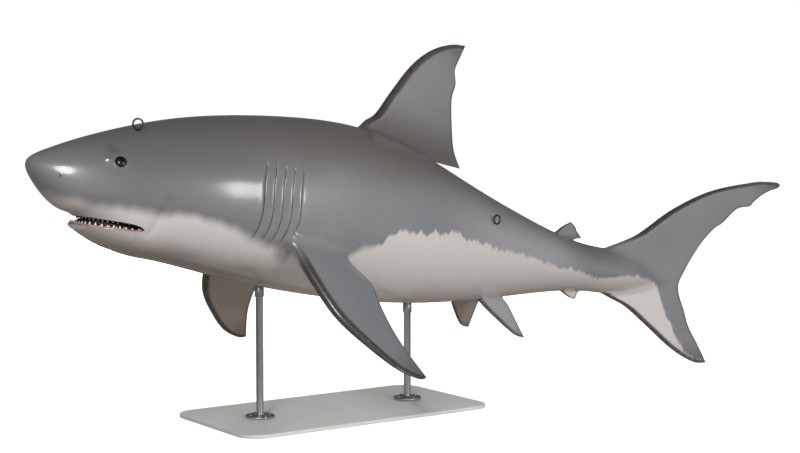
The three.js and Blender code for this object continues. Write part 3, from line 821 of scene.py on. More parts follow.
def fin_shell(fin, side=1):
    """A fin as a shell, with its root swollen into a fillet."""
    two_tips = fin.get("tips") == 2
    rows = fin["rows"]
    lead, trail = (outline(fin[edge], rows + 1)[:, None] for edge in ("leading", "trailing"))
    along = np.linspace(0, 1, rows + 1)[:, None]
    turn = full_turn(fin["around"])[None]
    chord = ((1 - np.cos(turn)) / 2) ** 1.3
    width = np.linalg.norm(trail - lead, axis=-1)
    tipward = np.abs(2 * along - 1) if two_tips else along
    thick = fin["thick"][0] + (fin["thick"][1] - fin["thick"][0]) * tipward**1.6
    thick = thick * np.minimum(1, width / (THIN_WIDTH * fin["thick"][0]))
    face = np.sign(np.round(np.sin(turn), 6))
    off = face * (thick * foil(chord, width, thick) + FIN_EDGE) * (width > 1e-6)
    flat = lead + (trail - lead) * chord[..., None]
    over = height_over_body(in_plane(fin, side, flat, 0 * off))
    radius = fin["fillet"]
    depth = radius - np.clip(over + 0.2 * radius, 0, radius)
    swell = radius - np.sqrt(radius**2 - depth**2)
    run = (trail - lead) / np.maximum(width, 1)[..., None]
    flat = flat - run * (np.cos(turn) * swell)[..., None]
    off = off + np.sin(turn) * swell
    points = in_plane(fin, side, flat, off)
    upper = face * ("droop" in fin)
    marks = np.stack(np.broadcast_arrays(chord * width, (1 - chord) * width, tipward, upper), -1)
    fin_marks.append((points.reshape(-1, 3), marks.reshape(-1, 4)))
    return shell("fin", *stacked(points), kind=FIN)


for fin, sides in FINS:
    for side in sides:
        combined(skin, fin_shell(fin, side), "UNION")
print("with the fins:", triangles(skin), "triangles")

# %% [markdown]
# ## Softening the joints
#
# A cast and lacquered surface has no sharp inside corners. The faces still say what they were
# made as, so each joint is found as the edges between two kinds of face. A band round it is cut
# finer and then relaxed: every point moves a little towards its neighbours, most at the joint.

# %% Near a joint
def nearest(points):
    """A tree that finds the nearest of the points."""
    tree = KDTree(len(points))
    for i, point in enumerate(points):
        tree.insert(point, i)
    tree.balance()
    return tree


def seam_points(bm, kinds):
    """The points of the edges where faces of two kinds meet."""
    return {v for e in bm.edges if len(e.link_faces) == 2
            and {f.material_index for f in e.link_faces} == set(kinds) for v in e.verts}


MERGE = 0.25                # points closer than this are merged, which clears a cut's slivers
with edited(skin.data) as bm:
    bmesh.ops.remove_doubles(bm, verts=bm.verts, dist=MERGE)
    bmesh.ops.dissolve_degenerate(bm, edges=bm.edges, dist=MERGE / 4)
    print("points on the fins' joints:", len(seam_points(bm, (SHELL, FIN))))

# %% Soften
LEAST_EDGE = 0.02
EAGERNESS = 0.6             # how far a point at the joint moves towards its neighbours' middle


def relaxed(points, pairs, pull, rounds):
    """The points after some rounds of moving towards their neighbours, each by its own pull."""
    starts, ends = np.concatenate([pairs, pairs[:, ::-1]]).T
    count = np.bincount(starts, minlength=len(points))[:, None]
    step = EAGERNESS * np.sqrt(pull)[:, None]
    for _ in range(rounds):
        total = np.stack([np.bincount(starts, points[ends, k], len(points)) for k in range(3)], -1)
        points = points + step * (total / np.maximum(count, 1) - points)
    return points


def soften(bm, kinds, band, rounds, longest):
    """Relaxes a band of the surface round the joint between two kinds of face."""
    tree = nearest([v.co for v in seam_points(bm, kinds)])
    near = {v for v in bm.verts if tree.find(v.co)[2] < band}
    faces = {f for v in near for f in v.link_faces}
    bmesh.ops.triangulate(bm, faces=[f for f in faces if len(f.verts) > 4])
    long_edges = [e for e in bm.edges if e.calc_length() > longest and near.issuperset(e.verts)]
    bmesh.ops.subdivide_edges(bm, edges=long_edges, cuts=1, use_grid_fill=True)
    bm.verts.index_update()
    pull = np.array([max(0.0, 1 - tree.find(v.co)[2] / band) for v in bm.verts])
    pairs = np.array([[v.index for v in e.verts] for e in bm.edges
                      if max(pull[v.index] for v in e.verts) > 0])
    points = relaxed(np.array([v.co for v in bm.verts]), pairs, pull, rounds)
    for v, point in zip(bm.verts, points):
        v.co = point
    bmesh.ops.dissolve_degenerate(bm, edges=bm.edges, dist=LEAST_EDGE)


with edited(skin.data) as bm:
    soften(bm, (SHELL, FIN), band=30, rounds=10, longest=13)
print("softened:", triangles(skin), "triangles")

# %% [markdown]
# ## The skin in its pose
#
# The paint has to know where it is on the fish, whatever the pose. So the straight position is
# kept on the points, in metres, with the distances from a fin's edges, before the skin is bent.

# %% Paint marks
NO_FIN = (900.0, 900.0, 0.0, 0.0)       # marks of a point off the fins: far from any edge


def keep_vector(mesh, name, values):
    """Stores a vector on every point of a mesh, for its material to read."""
    layer = mesh.attributes.new(name, "FLOAT_VECTOR", "POINT")
    layer.data.foreach_set("vector", np.asarray(values, np.float32).ravel())


def fin_values(mesh, straight):
    """For every point: distance from a fin's leading and trailing edges, tip, and upper side."""
    on_fin = np.zeros(len(mesh.vertices), bool)
    for face in mesh.polygons:
        if face.material_index == FIN:
            on_fin[list(face.vertices)] = True
    tree = nearest(np.concatenate([points for points, _ in fin_marks]))
    marks = np.concatenate([marks for _, marks in fin_marks])
    values = np.tile(NO_FIN, (len(straight), 1))
    for i in np.flatnonzero(on_fin):
        values[i] = marks[tree.find(straight[i])[1]]
    return values


straight = coordinates(skin)
marks = fin_values(skin.data, straight)
keep_vector(skin.data, "straight", straight * MM)
keep_vector(skin.data, "fin", marks[:, :3] * (MM, MM, 1))
keep_vector(skin.data, "upper", marks[:, 3:] * (1, 0, 0))
print("points on a fin:", int((marks[:, 0] < NO_FIN[0]).sum()))

# %% Pose and sharp edges
SHARP = math.radians(48)
move_points(skin, place(straight))
faces_kind = np.array([face.material_index for face in skin.data.polygons])
lined = np.isin(faces_kind, (MOUTH, SOCKET))
sizes, edges = (np.empty(len(group), int) for group in (skin.data.polygons, skin.data.loops))
skin.data.polygons.foreach_get("loop_total", sizes)
skin.data.loops.foreach_get("edge_index", edges)
sides = np.zeros((2, len(skin.data.edges)), bool)
sides[np.repeat(lined, sizes).astype(int), edges] = True
skin.data.set_sharp_from_angle(angle=SHARP)
for edge in np.flatnonzero(sides.all(0)):
    skin.data.edges[edge].use_edge_sharp = True
skin.data.materials.clear()
print("skin:", len(straight), "points", triangles(skin), "triangles")

# %% [markdown]
# ## Glass eyes
#
# Taxidermists and statue makers set in a glass eye: a flattened clear dome over a painted iris.
# From outside it reads as one very dark, wet dome with a brown rim, so one lathe-like shell does,
# with the distance from its middle kept on its points for the iris.

# %% Eyes
DOME = {"front": 26, "back": 8, "around": 64, "gap": 0.04}      # rings, and their gap at the rim


def glass_eye(name, side):
    """A flattened dome sunk into the socket on one side of the head."""
    gap = DOME["gap"]
    rise = np.concatenate([np.linspace(0.5, gap, DOME["front"]),
                           np.linspace(-gap, -0.5, DOME["back"])])
    turn = full_turn(DOME["around"])[:, None]
    middle = EYE_MIDDLE - EYE_OUT * EYE["sink"]
    ring = (EYE_FORWARDS * np.cos(turn) + EYE_UP * np.sin(turn)) * EYE["radius"]
    rings = [middle + ring * np.cos(angle) + EYE_OUT * EYE["bulge"] * np.sin(angle)
             for angle in rise * np.pi]
    eye = shell(name, *stacked(np.array(rings) * (1, side, 1)))
    flat = coordinates(eye) * (1, side, 1) - middle
    parts = [flat @ direction / EYE["radius"] for direction in (EYE_FORWARDS, EYE_UP, EYE_OUT)]
    keep_vector(eye.data, "iris", np.stack(parts, -1))
    move_points(eye, place(coordinates(eye)))
    return eye


eyes = {"left": glass_eye("eye_glass_left", -1), "right": glass_eye("eye_glass_right", 1)}
print("eyes:", [triangles(eye) for eye in eyes.values()])

# %% [markdown]
# ## Gums
#
# A gum is a soft strip that follows the lip a little way in. Its lane is the lip's line, moved
# inwards along its normal, and the strip swells and thins along it like wax pressed on by hand.

# %% Lanes along the lips
GUM_SHAPES = {
    "lower_gum": {"back": 405, "inset": 4.5, "depth": 13, "height": 9, "tip": 6, "up": 1},
    "upper_gum": {"back": 384, "inset": 15, "depth": 9, "height": 3.5, "tip": 1.5, "up": -1},
}
LIP_BACK = 394


def lip_front(z, chin):
    """Where the underside of the snout or the chin reaches height z."""
    s = np.linspace(LIP_FRONT, LIP_BACK, 4000)
    return s[np.argmax(section(s, chin)[1] <= z)]


def lip_lane(gum, a, inset):
    """Points along a lip, a from -1 at one corner to 1 at the other, moved in by inset."""
    plane, chin = (lower_plane, 1.0) if gum["up"] > 0 else (upper_plane, 0.0)
    front = lip_front(plane(LIP_FRONT), chin)

    def lip(at):
        s = front + (gum["back"] - front) * at * at
        return np.stack([s, np.sign(at) * half_width_at(s, plane(s), chin)], -1)

    along = lip(a + 0.01) - lip(a - 0.01)
    along /= np.linalg.norm(along, axis=-1, keepdims=True)
    spot = lip(a) + np.stack([along[..., 1], -along[..., 0]], -1) * np.asarray(inset)[..., None]
    return spot, plane(spot[..., 0])


print("the lower lip starts %.0f mm behind the nose" % lip_front(LOWER_LIP, 1.0))

# %% Gums
GUM_SECTION = ((0.0, -0.12), (0.02, 0.3), (0.1, 0.62), (0.26, 0.9), (0.45, 1.0), (0.65, 0.93),
               (0.84, 0.66), (0.95, 0.35), (1.0, -0.12))
GUM_SKIRT = 16              # how deep a section's -1 would reach into the lip


def gum_height(gum, a):
    """How tall the gum stands, lower towards the corners."""
    return gum["height"] + (gum["tip"] - gum["height"]) * np.abs(a) ** 3


def gum_strip(name, gum):
    """The gum as a closed strip, a little uneven along its length."""
    a = np.linspace(-0.995, 0.995, 181)
    wave = 1 + 0.05 * np.sin(a * 61) + 0.04 * np.sin(a * 37 + 1)
    rings = []
    for deep, high in GUM_SECTION:
        spot, base = lip_lane(gum, a, gum["inset"] + deep * gum["depth"] + 0.5 * np.sin(a * 48))
        rise = np.where(high > 0, high * gum_height(gum, a) * wave, high * GUM_SKIRT)
        rings.append(np.concatenate([spot, (base + gum["up"] * rise)[:, None]], -1))
    strip = shell(name, *stacked(np.moveaxis(np.array(rings), 0, 1)))
    move_points(strip, place(coordinates(strip)))
    return strip


gums = {name: gum_strip(name, gum) for name, gum in GUM_SHAPES.items()}
print("gums:", [triangles(gum) for gum in gums.values()])

# %% [markdown]
# ## Node trees as expressions
#
# Teeth, screws and every finish below are node trees. Wiring them link by link hides what they
# say, so one class wraps a socket and turns arithmetic into Math nodes, and one method makes any
# other node: its settings first, then the values or links of its inputs. Each operator is added
# with its reflected form, so that 1 - mask works too.

# %% Sockets as values
OPERATORS = {"add": "ADD", "sub": "SUBTRACT", "mul": "MULTIPLY", "truediv": "DIVIDE",
             "pow": "POWER"}


class Wire:
    """A socket of a node tree. Arithmetic on it adds Math nodes."""

    def __init__(self, graph, socket):
        self.graph, self.socket = graph, socket

    def maths(self, operation, *values):
        """A Math node on the values."""
        return self.graph.node("ShaderNodeMath", {"operation": operation}, values)[0]

    def __abs__(self):
        return self.maths("ABSOLUTE", self)

    def above(self, other):
        """The larger of two values."""
        return self.maths("MAXIMUM", self, other)

    def rise(self, low, high):
        """0 at low and 1 at high, with a smooth rise between; low may be the larger."""
        return self.graph.node("ShaderNodeMapRange", {"interpolation_type": "SMOOTHSTEP"},
                               (self, low, high))[0]


def add_operator(name, operation):
    """Gives the class an operator and its reflected form."""
    setattr(Wire, "__%s__" % name, lambda self, other: self.maths(operation, self, other))
    setattr(Wire, "__r%s__" % name, lambda self, other: self.maths(operation, other, self))


for name, operation in OPERATORS.items():
    add_operator(name, operation)
print("operators:", ", ".join(OPERATORS))


# %% Node trees
class Outputs:
    """A node's outputs as wires."""

    def __init__(self, graph, node):
        self.graph, self.sockets = graph, node.outputs

    def __getitem__(self, key):
        return Wire(self.graph, self.sockets[key])


class Graph:
    """A node tree that is filled by calls."""

    def __init__(self, tree):
        self.tree = tree
        tree.nodes.clear()

    def node(self, kind, settings=None, inputs=()):
        """A node of a kind: its settings, then its inputs by name or number."""
        node = self.tree.nodes.new(kind)
        for key, value in (settings or {}).items():
            if key == "curve":
                self.shape_curve(node, value)
            else:
                setattr(node, key, value)
        pairs = inputs.items() if isinstance(inputs, dict) else enumerate(inputs)
        for key, value in pairs:
            if isinstance(value, Wire):
                self.tree.links.new(value.socket, node.inputs[key])
            else:
                node.inputs[key].default_value = value
        return Outputs(self, node)

    @staticmethod
    def shape_curve(node, points):
        """Bends a curve node's line through the points."""
        line = node.mapping.curves[0]
        while len(line.points) < len(points):
            line.points.new(0.5, 0.5)
        for spot, point in zip(line.points, points):
            spot.location = point
        node.mapping.update()

    def mix(self, factor, a, b):
        """Colour a where the factor is 0 and b where it is 1."""
        return self.node("ShaderNodeMix", {"data_type": "RGBA"}, {0: factor, 6: a, 7: b})[2]

    def stretch(self, vector, scale):
        """A vector with each part multiplied."""
        return self.node("ShaderNodeVectorMath", {"operation": "MULTIPLY"}, (vector, scale))[0]

    def noise(self, vector, scale, detail=2.0, roughness=0.5):
        """Smooth random values about 0.5."""
        return self.node("ShaderNodeTexNoise", inputs={
            "Vector": vector, "Scale": scale, "Detail": detail, "Roughness": roughness})[0]

    def parts(self, vector):
        """The three parts of a vector."""
        split = self.node("ShaderNodeSeparateXYZ", inputs=(vector,))
        return [split[k] for k in range(3)]


print("node helpers ready")

# %% [markdown]
# ## Teeth
#
# A real jaw carries rows of flat, pointed blades. They repeat along the gum, so Geometry Nodes
# plant them: the lane becomes a curve, is resampled to the number of teeth, and one blade is set
# on every point, turned along the lane, with sizes drawn at random from a fixed seed. The tree
# ends in Realize Instances and Set Material.

# %% One tooth
def tooth_blade(width, height, thick):
    """One blade, standing on the origin: wide along X, thin along Y, with fine notched edges."""
    turn = full_turn(8)
    rings = []
    for i, t in enumerate(np.linspace(0, 1, 11)):
        notch = 1 + 0.05 * (-1) ** i
        half = width / 2 * (1 - t) ** 0.85 * notch + 0.08
        flat = thick / 2 * (1 - t) ** 0.7 + 0.06
        bow = -0.09 * thick * np.sin(t * np.pi)
        rings.append(np.stack([half * np.cos(turn), flat * np.sin(turn) + bow,
                               np.full_like(turn, t * height)], -1))
    tooth = shell("blade", *stacked(np.array(rings) * MM), merge=1e-6)
    level = coordinates(tooth)[:, 2] / (height * MM)
    keep_vector(tooth.data, "level", level[:, None] * (1, 1, 1))
    return tooth


print("tooth blade ready")


# %% Trees that plant and set
class PlacingTree(Graph):
    """A Geometry Nodes tree with named inputs, which ends in plain faces with a finish."""

    def __init__(self, name, **kinds):
        super().__init__(bpy.data.node_groups.new(name, "GeometryNodeTree"))
        for key, kind in {**kinds, "Finish": "Material"}.items():
            self.tree.interface.new_socket(key, in_out="INPUT", socket_type="NodeSocket" + kind)
        self.tree.interface.new_socket("Placed", in_out="OUTPUT", socket_type="NodeSocketGeometry")
        self.given = self.node("NodeGroupInput")

    def copies(self, points, instance, **settings):
        """The instance on every point."""
        inputs = {"Points": points, "Instance": instance, **settings}
        return self.node("GeometryNodeInstanceOnPoints", inputs=inputs)[0]

    def finish(self, geometry):
        """Makes the copies plain faces, sets their material and ends the tree."""
        real = self.node("GeometryNodeRealizeInstances", inputs=(geometry,))[0]
        inputs = {"Geometry": real, "Material": self.given["Finish"]}
        finished = self.node("GeometryNodeSetMaterial", inputs=inputs)[0]
        self.node("NodeGroupOutput", inputs=(finished,))
        return self.tree


DRAWN = (0.72, 1.15)        # a tooth's height is multiplied by a number drawn between these


def planting_tree():
    """Plants an object along a lane of points, smaller towards the lane's ends."""
    graph = PlacingTree("planting", Lane="Geometry", Blade="Object", Count="Int", Up="Vector",
                        Taper="Float", Seed="Int")
    given = graph.given
    curve = graph.node("GeometryNodeMeshToCurve", inputs={"Mesh": given["Lane"]})[0]
    spots = graph.node("GeometryNodeResampleCurve", inputs={
        "Curve": curve, "Count": given["Count"]})[0]
    factor = graph.node("GeometryNodeSplineParameter")["Factor"]
    smaller = 1 - given["Taper"] * abs(2 * factor - 1) ** 3
    chance = graph.node("FunctionNodeRandomValue", {"data_type": "FLOAT"},
                        {2: DRAWN[0], 3: DRAWN[1], "Seed": given["Seed"]})[1]
    upright = graph.node("FunctionNodeAlignRotationToVector", {"axis": "Z"},
                         {"Vector": given["Up"]})[0]
    tangent = graph.node("GeometryNodeInputTangent")[0]
    turned = graph.node("FunctionNodeAlignRotationToVector", {"axis": "X", "pivot_axis": "Z"},
                        {"Rotation": upright, "Vector": tangent})[0]
    blade = graph.node("GeometryNodeObjectInfo", inputs={"Object": given["Blade"]})["Geometry"]
    size = graph.node("ShaderNodeCombineXYZ", inputs=(smaller, smaller, smaller * chance))[0]
    return graph.finish(graph.copies(spots, blade, Rotation=turned, Scale=size))


def planted(name, lane, tree, **values):
    """A plain mesh of blades planted along a lane of points, by the tree's named inputs."""
    mesh = bpy.data.meshes.new(name)
    mesh.from_pydata(lane.tolist(), [(i, i + 1) for i in range(len(lane) - 1)], [])
    obj = in_scene(name, mesh)
    modifier = obj.modifiers.new(name, "NODES")
    modifier.node_group = tree
    for item in tree.interface.items_tree:
        if item.name in values:
            modifier[item.identifier] = values[item.name]
    return applied(obj)


print("tooth tree ready")


# %% Teeth on the gums
def level_of(mesh):
    """The height kept on a mesh's points, or 1 where none is kept."""
    values = np.ones(len(mesh.vertices) * 3)
    if "level" in mesh.attributes:
        mesh.attributes["level"].data.foreach_get("vector", values)
    return values.reshape(-1, 3)


def joined(obj, other, slot):
    """Adds another object's faces to an object, under a material slot, and removes the other."""
    levels = np.concatenate([level_of(part.data) for part in (obj, other)])
    points = np.concatenate([coordinates(part) for part in (obj, other)])
    shift = len(obj.data.vertices)
    faces = [list(face.vertices) for face in obj.data.polygons]
    faces += [[v + shift for v in face.vertices] for face in other.data.polygons]
    slots = [face.material_index for face in obj.data.polygons] + [slot] * len(other.data.polygons)
    obj.data = bpy.data.meshes.new(obj.name)
    obj.data.from_pydata(points.tolist(), [], faces)
    obj.data.polygons.foreach_set("material_index", slots)
    obj.data.polygons.foreach_set("use_smooth", [True] * len(faces))
    keep_vector(obj.data, "level", levels)
    bpy.data.objects.remove(other)


enamel = bpy.data.materials.new("tooth_enamel")
TEETH = (      # gum, depth across it, number of teeth, width, height, thickness, seed
    ("lower_gum", 0.30, 25, 13.0, 13.5, 4.0, 3),
    ("lower_gum", 0.74, 21, 9.0, 10.0, 3.2, 8),
    ("upper_gum", 0.35, 25, 11.0, 8.5, 3.2, 5),
)
ROOTED, TAPER = 2.5, 0.5    # how deep a tooth stands in the gum, how much smaller the last one is
LANE_END = 0.965
tree = planting_tree()
for name, deep, count, width, height, thick, seed in TEETH:
    gum = GUM_SHAPES[name]
    a = np.linspace(-LANE_END, LANE_END, 120)
    spot, base = lip_lane(gum, a, gum["inset"] + deep * gum["depth"] + 0 * a)
    level = base + gum["up"] * (gum_height(gum, a) - ROOTED)
    lane = place(np.concatenate([spot, level[:, None]], -1))
    up = Vector(place([300, 0, 1]) - place([300, 0, 0])).normalized() * gum["up"]
    blade = tooth_blade(width, height, thick)
    teeth = planted("teeth", lane, tree, Blade=blade, Count=count, Up=up, Taper=TAPER, Seed=seed,
                    Finish=enamel)
    bpy.data.objects.remove(blade)
    joined(gums[name], teeth, 1)
    print(name, count, "teeth,", triangles(gums[name]), "triangles in all")

# %% [markdown]
# ## Lifting rings
#
# The statue is lifted and hung by three forged rings, one on the crown and one on each flank. A
# forged ring is one piece with its collar, so a round ring and a turned collar are joined.

# %% Shapes round a line
RING = {"middle": 19, "wire": 3.6}
COLLAR = ((0.4, -12), (4, -12), (4.2, -0.5), (7.6, -0.5), (8.2, 0.4), (8.2, 1.6), (7.4, 2.9),
          (5.8, 3.9), (4.9, 5.6), (4.6, 8), (0.4, 8.4))
RING_RISE = 7
HEAD_RING = {"at": (376, -96, 202), "out": (-0.18, 0, 0.98), "turn": -35}
FLANK_RING = {"at": (2003, -260, 104), "out": (0, -0.95, 0.31), "turn": 90}


def looped(rings):
    """Points and faces of a shell over rings that close on themselves, as in a torus."""
    rings = np.asarray(rings, float)
    rows, around = rings.shape[:2]
    column = np.arange(around)
    ahead = (column + 1) % around
    faces = []
    for row in range(rows):
        low, high = row * around, (row + 1) % rows * around
        faces += np.stack([low + column, low + ahead, high + ahead, high + column], -1).tolist()
    return rings.reshape(-1, 3), faces


def turned(profile, count):
    """Rings of a turned piece from (radius, height) pairs, about Z."""
    turn = full_turn(count)
    return np.array([np.stack([r * np.cos(turn), r * np.sin(turn), np.full_like(turn, h)], -1)
                     for r, h in profile])


print("a ring is %.0f mm outside" % (2 * (RING["middle"] + RING["wire"])))


# %% Rings
def lifting_ring(name, ring, side):
    """A ring on its collar, standing off the skin on one side (-1 left, 1 right)."""
    s, y, z = ring["at"]
    ds, dy, dz = ring["out"]
    foot = place([s, -side * y, z])
    out = Vector(place([s + ds, -side * (y + dy), z + dz]) - foot).normalized()
    about, wire = full_turn(56)[:, None], full_turn(16)[None]
    radius = RING["middle"] + RING["wire"] * np.cos(wire)
    facing = math.radians(-side * ring["turn"])
    across = radius * np.cos(about)
    points = np.stack([across * math.cos(facing) - RING["wire"] * np.sin(wire) * math.sin(facing),
                       across * math.sin(facing) + RING["wire"] * np.sin(wire) * math.cos(facing),
                       radius * np.sin(about) + RING["middle"] + RING_RISE], -1)
    eye = shell(name, *looped(points))
    combined(eye, shell("collar", *stacked(turned(COLLAR, 28))), "UNION")
    stand = Vector((0, 0, 1)).rotation_difference(out).to_matrix()
    move_points(eye, coordinates(eye) * MM @ np.array(stand).T + foot)
    for face in eye.data.polygons:
        face.use_smooth = True
    return eye


rings = {
    "head_ring": lifting_ring("ring_head", HEAD_RING, -1),
    "flank_ring_left": lifting_ring("ring_flank_left", FLANK_RING, -1),
    "flank_ring_right": lifting_ring("ring_flank_right", FLANK_RING, 1),
}
print("rings:", [triangles(ring) for ring in rings.values()])

# %% [markdown]
# ## The display stand
#
# A flat base and two short rods carry the statue. The base is one slab with round corners and an
# eased edge. Each rod is turned steel on a flange, with a sleeve where it enters the belly, and
# four cap screws that Geometry Nodes set round the flange.

# %% Base and rods
BASE = {"corner": 0.09, "ease": 0.003}
PIN = 0.0005                # a turned piece starts this far from its axis, and a fan closes it
ROD = {"radius": 0.015, "flange": 0.06, "plate": 0.010, "sleeve": 0.019, "sleeve_length": 0.045,
       "into_belly": 0.02, "screws": 0.044, "weld": 0.006, "ease": 0.001}


def slab(name, low, high):
    """A slab between two corners, with round corners and an eased top and bottom edge."""
    middle = (low + high) / 2
    half = (high - low) / 2
    ease = BASE["ease"]
    quarter = np.linspace(0, np.pi / 2, 14)
    levels = [(ease - ease * math.sin(a), low.z + ease - ease * math.cos(a))
              for a in np.linspace(0, np.pi / 2, 5)]
    levels += [(inset, low.z + high.z - z) for inset, z in levels[::-1]]
    rings = []
    for inset, z in levels:
        ring = []
        for quadrant, (sx, sy) in enumerate(((1, 1), (-1, 1), (-1, -1), (1, -1))):
            r = BASE["corner"] - inset
            x = middle.x + sx * (half.x - BASE["corner"])
            y = middle.y + sy * (half.y - BASE["corner"])
            ring += [(x + r * math.cos(t), y + r * math.sin(t), z)
                     for t in quarter + quadrant * np.pi / 2]
        rings.append(ring)
    return shell(name, *stacked(rings), merge=1e-6)


def rod(name, node):
    """A rod on its flange, as tall as its node, running on a little way into the belly."""
    low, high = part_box(node)
    x, y = (low.x + high.x) / 2, (low.y + high.y) / 2
    r, flange, weld, sleeve, ease = (ROD[k] for k in ("radius", "flange", "weld", "sleeve", "ease"))
    plate, end = low.z + ROD["plate"], high.z + ROD["into_belly"]
    collar = high.z - ROD["sleeve_length"]
    profile = [(PIN, low.z), (flange - ease, low.z), (flange, low.z + ease),
               (flange, plate - 2 * ease), (flange - 0.6 * ease, plate - 0.6 * ease),
               (flange - 2 * ease, plate)]
    profile += [(r + weld * (1 - math.sin(a)), plate + weld * (1 - math.cos(a)))
                for a in np.linspace(0, np.pi / 2, 6)]
    profile += [(r, collar - ease), (sleeve - ease, collar), (sleeve, collar + ease), (sleeve, end),
                (PIN, end)]
    piece = shell(name, *stacked(turned(profile, 64)), merge=1e-6)
    move_points(piece, coordinates(piece) + (x, y, 0))
    return piece, Vector((x, y, plate))


base = slab("stand_base_plate", *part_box("stand_base"))
rods = {node: rod(name, node) for name, node in (("stand_rod_fore", "stand_rod_front"),
                                                 ("stand_rod_aft", "stand_rod_rear"))}
print("stand:", triangles(base), [triangles(piece) for piece, _ in rods.values()])

# %% A cap screw
SCREW = ((0.0003, 0.0), (0.0058, 0.0), (0.0062, 0.0004), (0.0062, 0.0048), (0.0056, 0.0056),
         (0.0036, 0.0056), (0.0034, 0.0030), (0.0003, 0.0027))
KEY_RADIUS = 0.004          # points nearer the axis belong to the six-sided key hole
SCREWS_EACH = 4


def cap_screw():
    """A turned cap whose round hole is pressed into six flats."""
    screw = shell("screw", *stacked(turned(SCREW, 6 * 4)), merge=1e-6)
    points = coordinates(screw)
    x, y, _ = points.T
    key = np.hypot(x, y) < KEY_RADIUS
    off_flat = np.arctan2(y, x) % (np.pi / 3) - np.pi / 6
    points[key, :2] *= (math.cos(np.pi / 6) / np.cos(off_flat[key]))[:, None]
    move_points(screw, points)
    return screw


screw = cap_screw()
print("a screw:", triangles(screw), "triangles")


# %% Flange screws
def ring_of_screws():
    """Sets an object at even places round a circle, on every given point."""
    graph = PlacingTree("ring of screws", Place="Geometry", Screw="Object", Count="Int",
                        Radius="Float")
    given = graph.given
    circle = graph.node("GeometryNodeMeshCircle", inputs={
        "Vertices": given["Count"], "Radius": given["Radius"]})[0]
    one = graph.node("GeometryNodeObjectInfo", inputs={"Object": given["Screw"]})["Geometry"]
    chance = graph.node("FunctionNodeRandomValue", {"data_type": "FLOAT"},
                        {2: 0.0, 3: 1.0, "Seed": 4})[1]
    turn = graph.node("ShaderNodeCombineXYZ", inputs=(0.0, 0.0, chance))[0]
    return graph.finish(graph.copies(given["Place"], graph.copies(circle, one, Rotation=turn)))


steel = bpy.data.materials.new("brushed_steel")
feet = np.array([foot for _, foot in rods.values()])
screws = planted("stand_screws", feet, ring_of_screws(), Screw=screw, Count=SCREWS_EACH,
                 Radius=ROD["screws"], Finish=steel)
bpy.data.objects.remove(screw)
print("screws:", triangles(screws), "triangles")

# %% [markdown]
# ## Finishes
#
# Every finish is worked out by nodes from where a point is, so it is the same from every side.
# A helper starts a material with its shader, and sets on the shader's own sockets whatever is
# the same all over.

# %% Start of a finish
def colour(red, green, blue):
    """A colour given as a screen shows it, 0 to 255, for a shader."""
    parts = [c / 255 for c in (red, green, blue)]
    return tuple(c / 12.92 if c < 0.04045 else ((c + 0.055) / 1.055) ** 2.4 for c in parts) + (1.0,)


class Finish:
    """A material, its graph and its shader."""

    def __init__(self, name, **constants):
        self.material = bpy.data.materials.get(name) or bpy.data.materials.new(name)
        self.material.use_nodes = True
        self.graph = Graph(self.material.node_tree)
        named = {self.socket_name(key): value for key, value in constants.items()}
        shader = self.graph.node("ShaderNodeBsdfPrincipled", inputs=named)
        self.graph.node("ShaderNodeOutputMaterial", inputs=(shader[0],))
        self.place = self.graph.node("ShaderNodeTexCoord")["Object"]

    @staticmethod
    def socket_name(key):
        """The shader's own name for an input, such as Coat IOR for coat_ior."""
        return key.replace("_", " ").title().replace("Ior", "IOR")

    def attribute(self, name):
        """A vector kept on the points."""
        return self.graph.node("ShaderNodeAttribute", {"attribute_name": name})["Vector"]

    def set(self, **links):
        """Feeds the shader's inputs."""
        inputs = self.graph.tree.nodes["Principled BSDF"].inputs
        for key, value in links.items():
            self.graph.tree.links.new(value.socket, inputs[self.socket_name(key)])

    def bump(self, height, strength, distance):
        """Feeds fine bumps to the shader's normal."""
        normal = self.graph.node("ShaderNodeBump", inputs={
            "Strength": strength, "Distance": distance, "Height": height})[0]
        self.set(normal=normal)


def dress(obj, *materials):
    """Puts materials in an object's slots, which its faces know by number."""
    numbers = np.empty(len(obj.data.polygons), int)
    obj.data.polygons.foreach_get("material_index", numbers)
    obj.data.materials.clear()
    for material in materials:
        obj.data.materials.append(material)
    obj.data.polygons.foreach_set("material_index", np.minimum(numbers, len(materials) - 1))


print("mid grey for a shader: %.3f" % colour(128, 128, 128)[0])

# %% [markdown]
# ## The painted skin
#
# The statue is airbrushed: a dark brownish back, a grey flank and a near-white belly. They meet
# along a line that is soft on the head, ragged with upward licks behind the pectoral fins, and
# that turns down the front of the tail's lower lobe. The fins are dusted dark brown along their
# leading edges and tips. Painted shade is added as well: along the fins' rounded leading edges,
# under the belly and throat, on the paired fins' undersides, at the dorsal fin's root and before
# the pectoral fins. A clear gloss lacquer lies over everything.
#
# The line is a curve node over s, and noise drawn out along z makes the licks.

# %% The line between grey and white
PAINT_LINE = [(0, -52), (120, -94), (400, -96), (520, -90), (620, -100), (740, -110), (830, -138),
              (1000, -160), (1200, -150), (1290, -112), (1370, -80), (1440, -28), (1520, -6),
              (1650, 4), (1900, -2), (2200, -16), (2500, -38), (2800, -50), (2960, -40),
              (3060, -18), (3130, -28), (3175, -48), (3214, -84), (3245, -134), (3301, -205),
              (3349, -267), (3401, -315), (3525, -369), (3900, -400)]
LINE_SPAN, LINE_LOW, LINE_HIGH = 3.9, -0.4, 0.1


def paint_line(g, s):
    """Height of the line at s."""
    span = LINE_HIGH - LINE_LOW
    curve = [(a * MM / LINE_SPAN, (b * MM - LINE_LOW) / span) for a, b in PAINT_LINE]
    line = g.node("ShaderNodeFloatCurve", {"curve": curve}, {"Value": s / LINE_SPAN})[0]
    return line * span + LINE_LOW


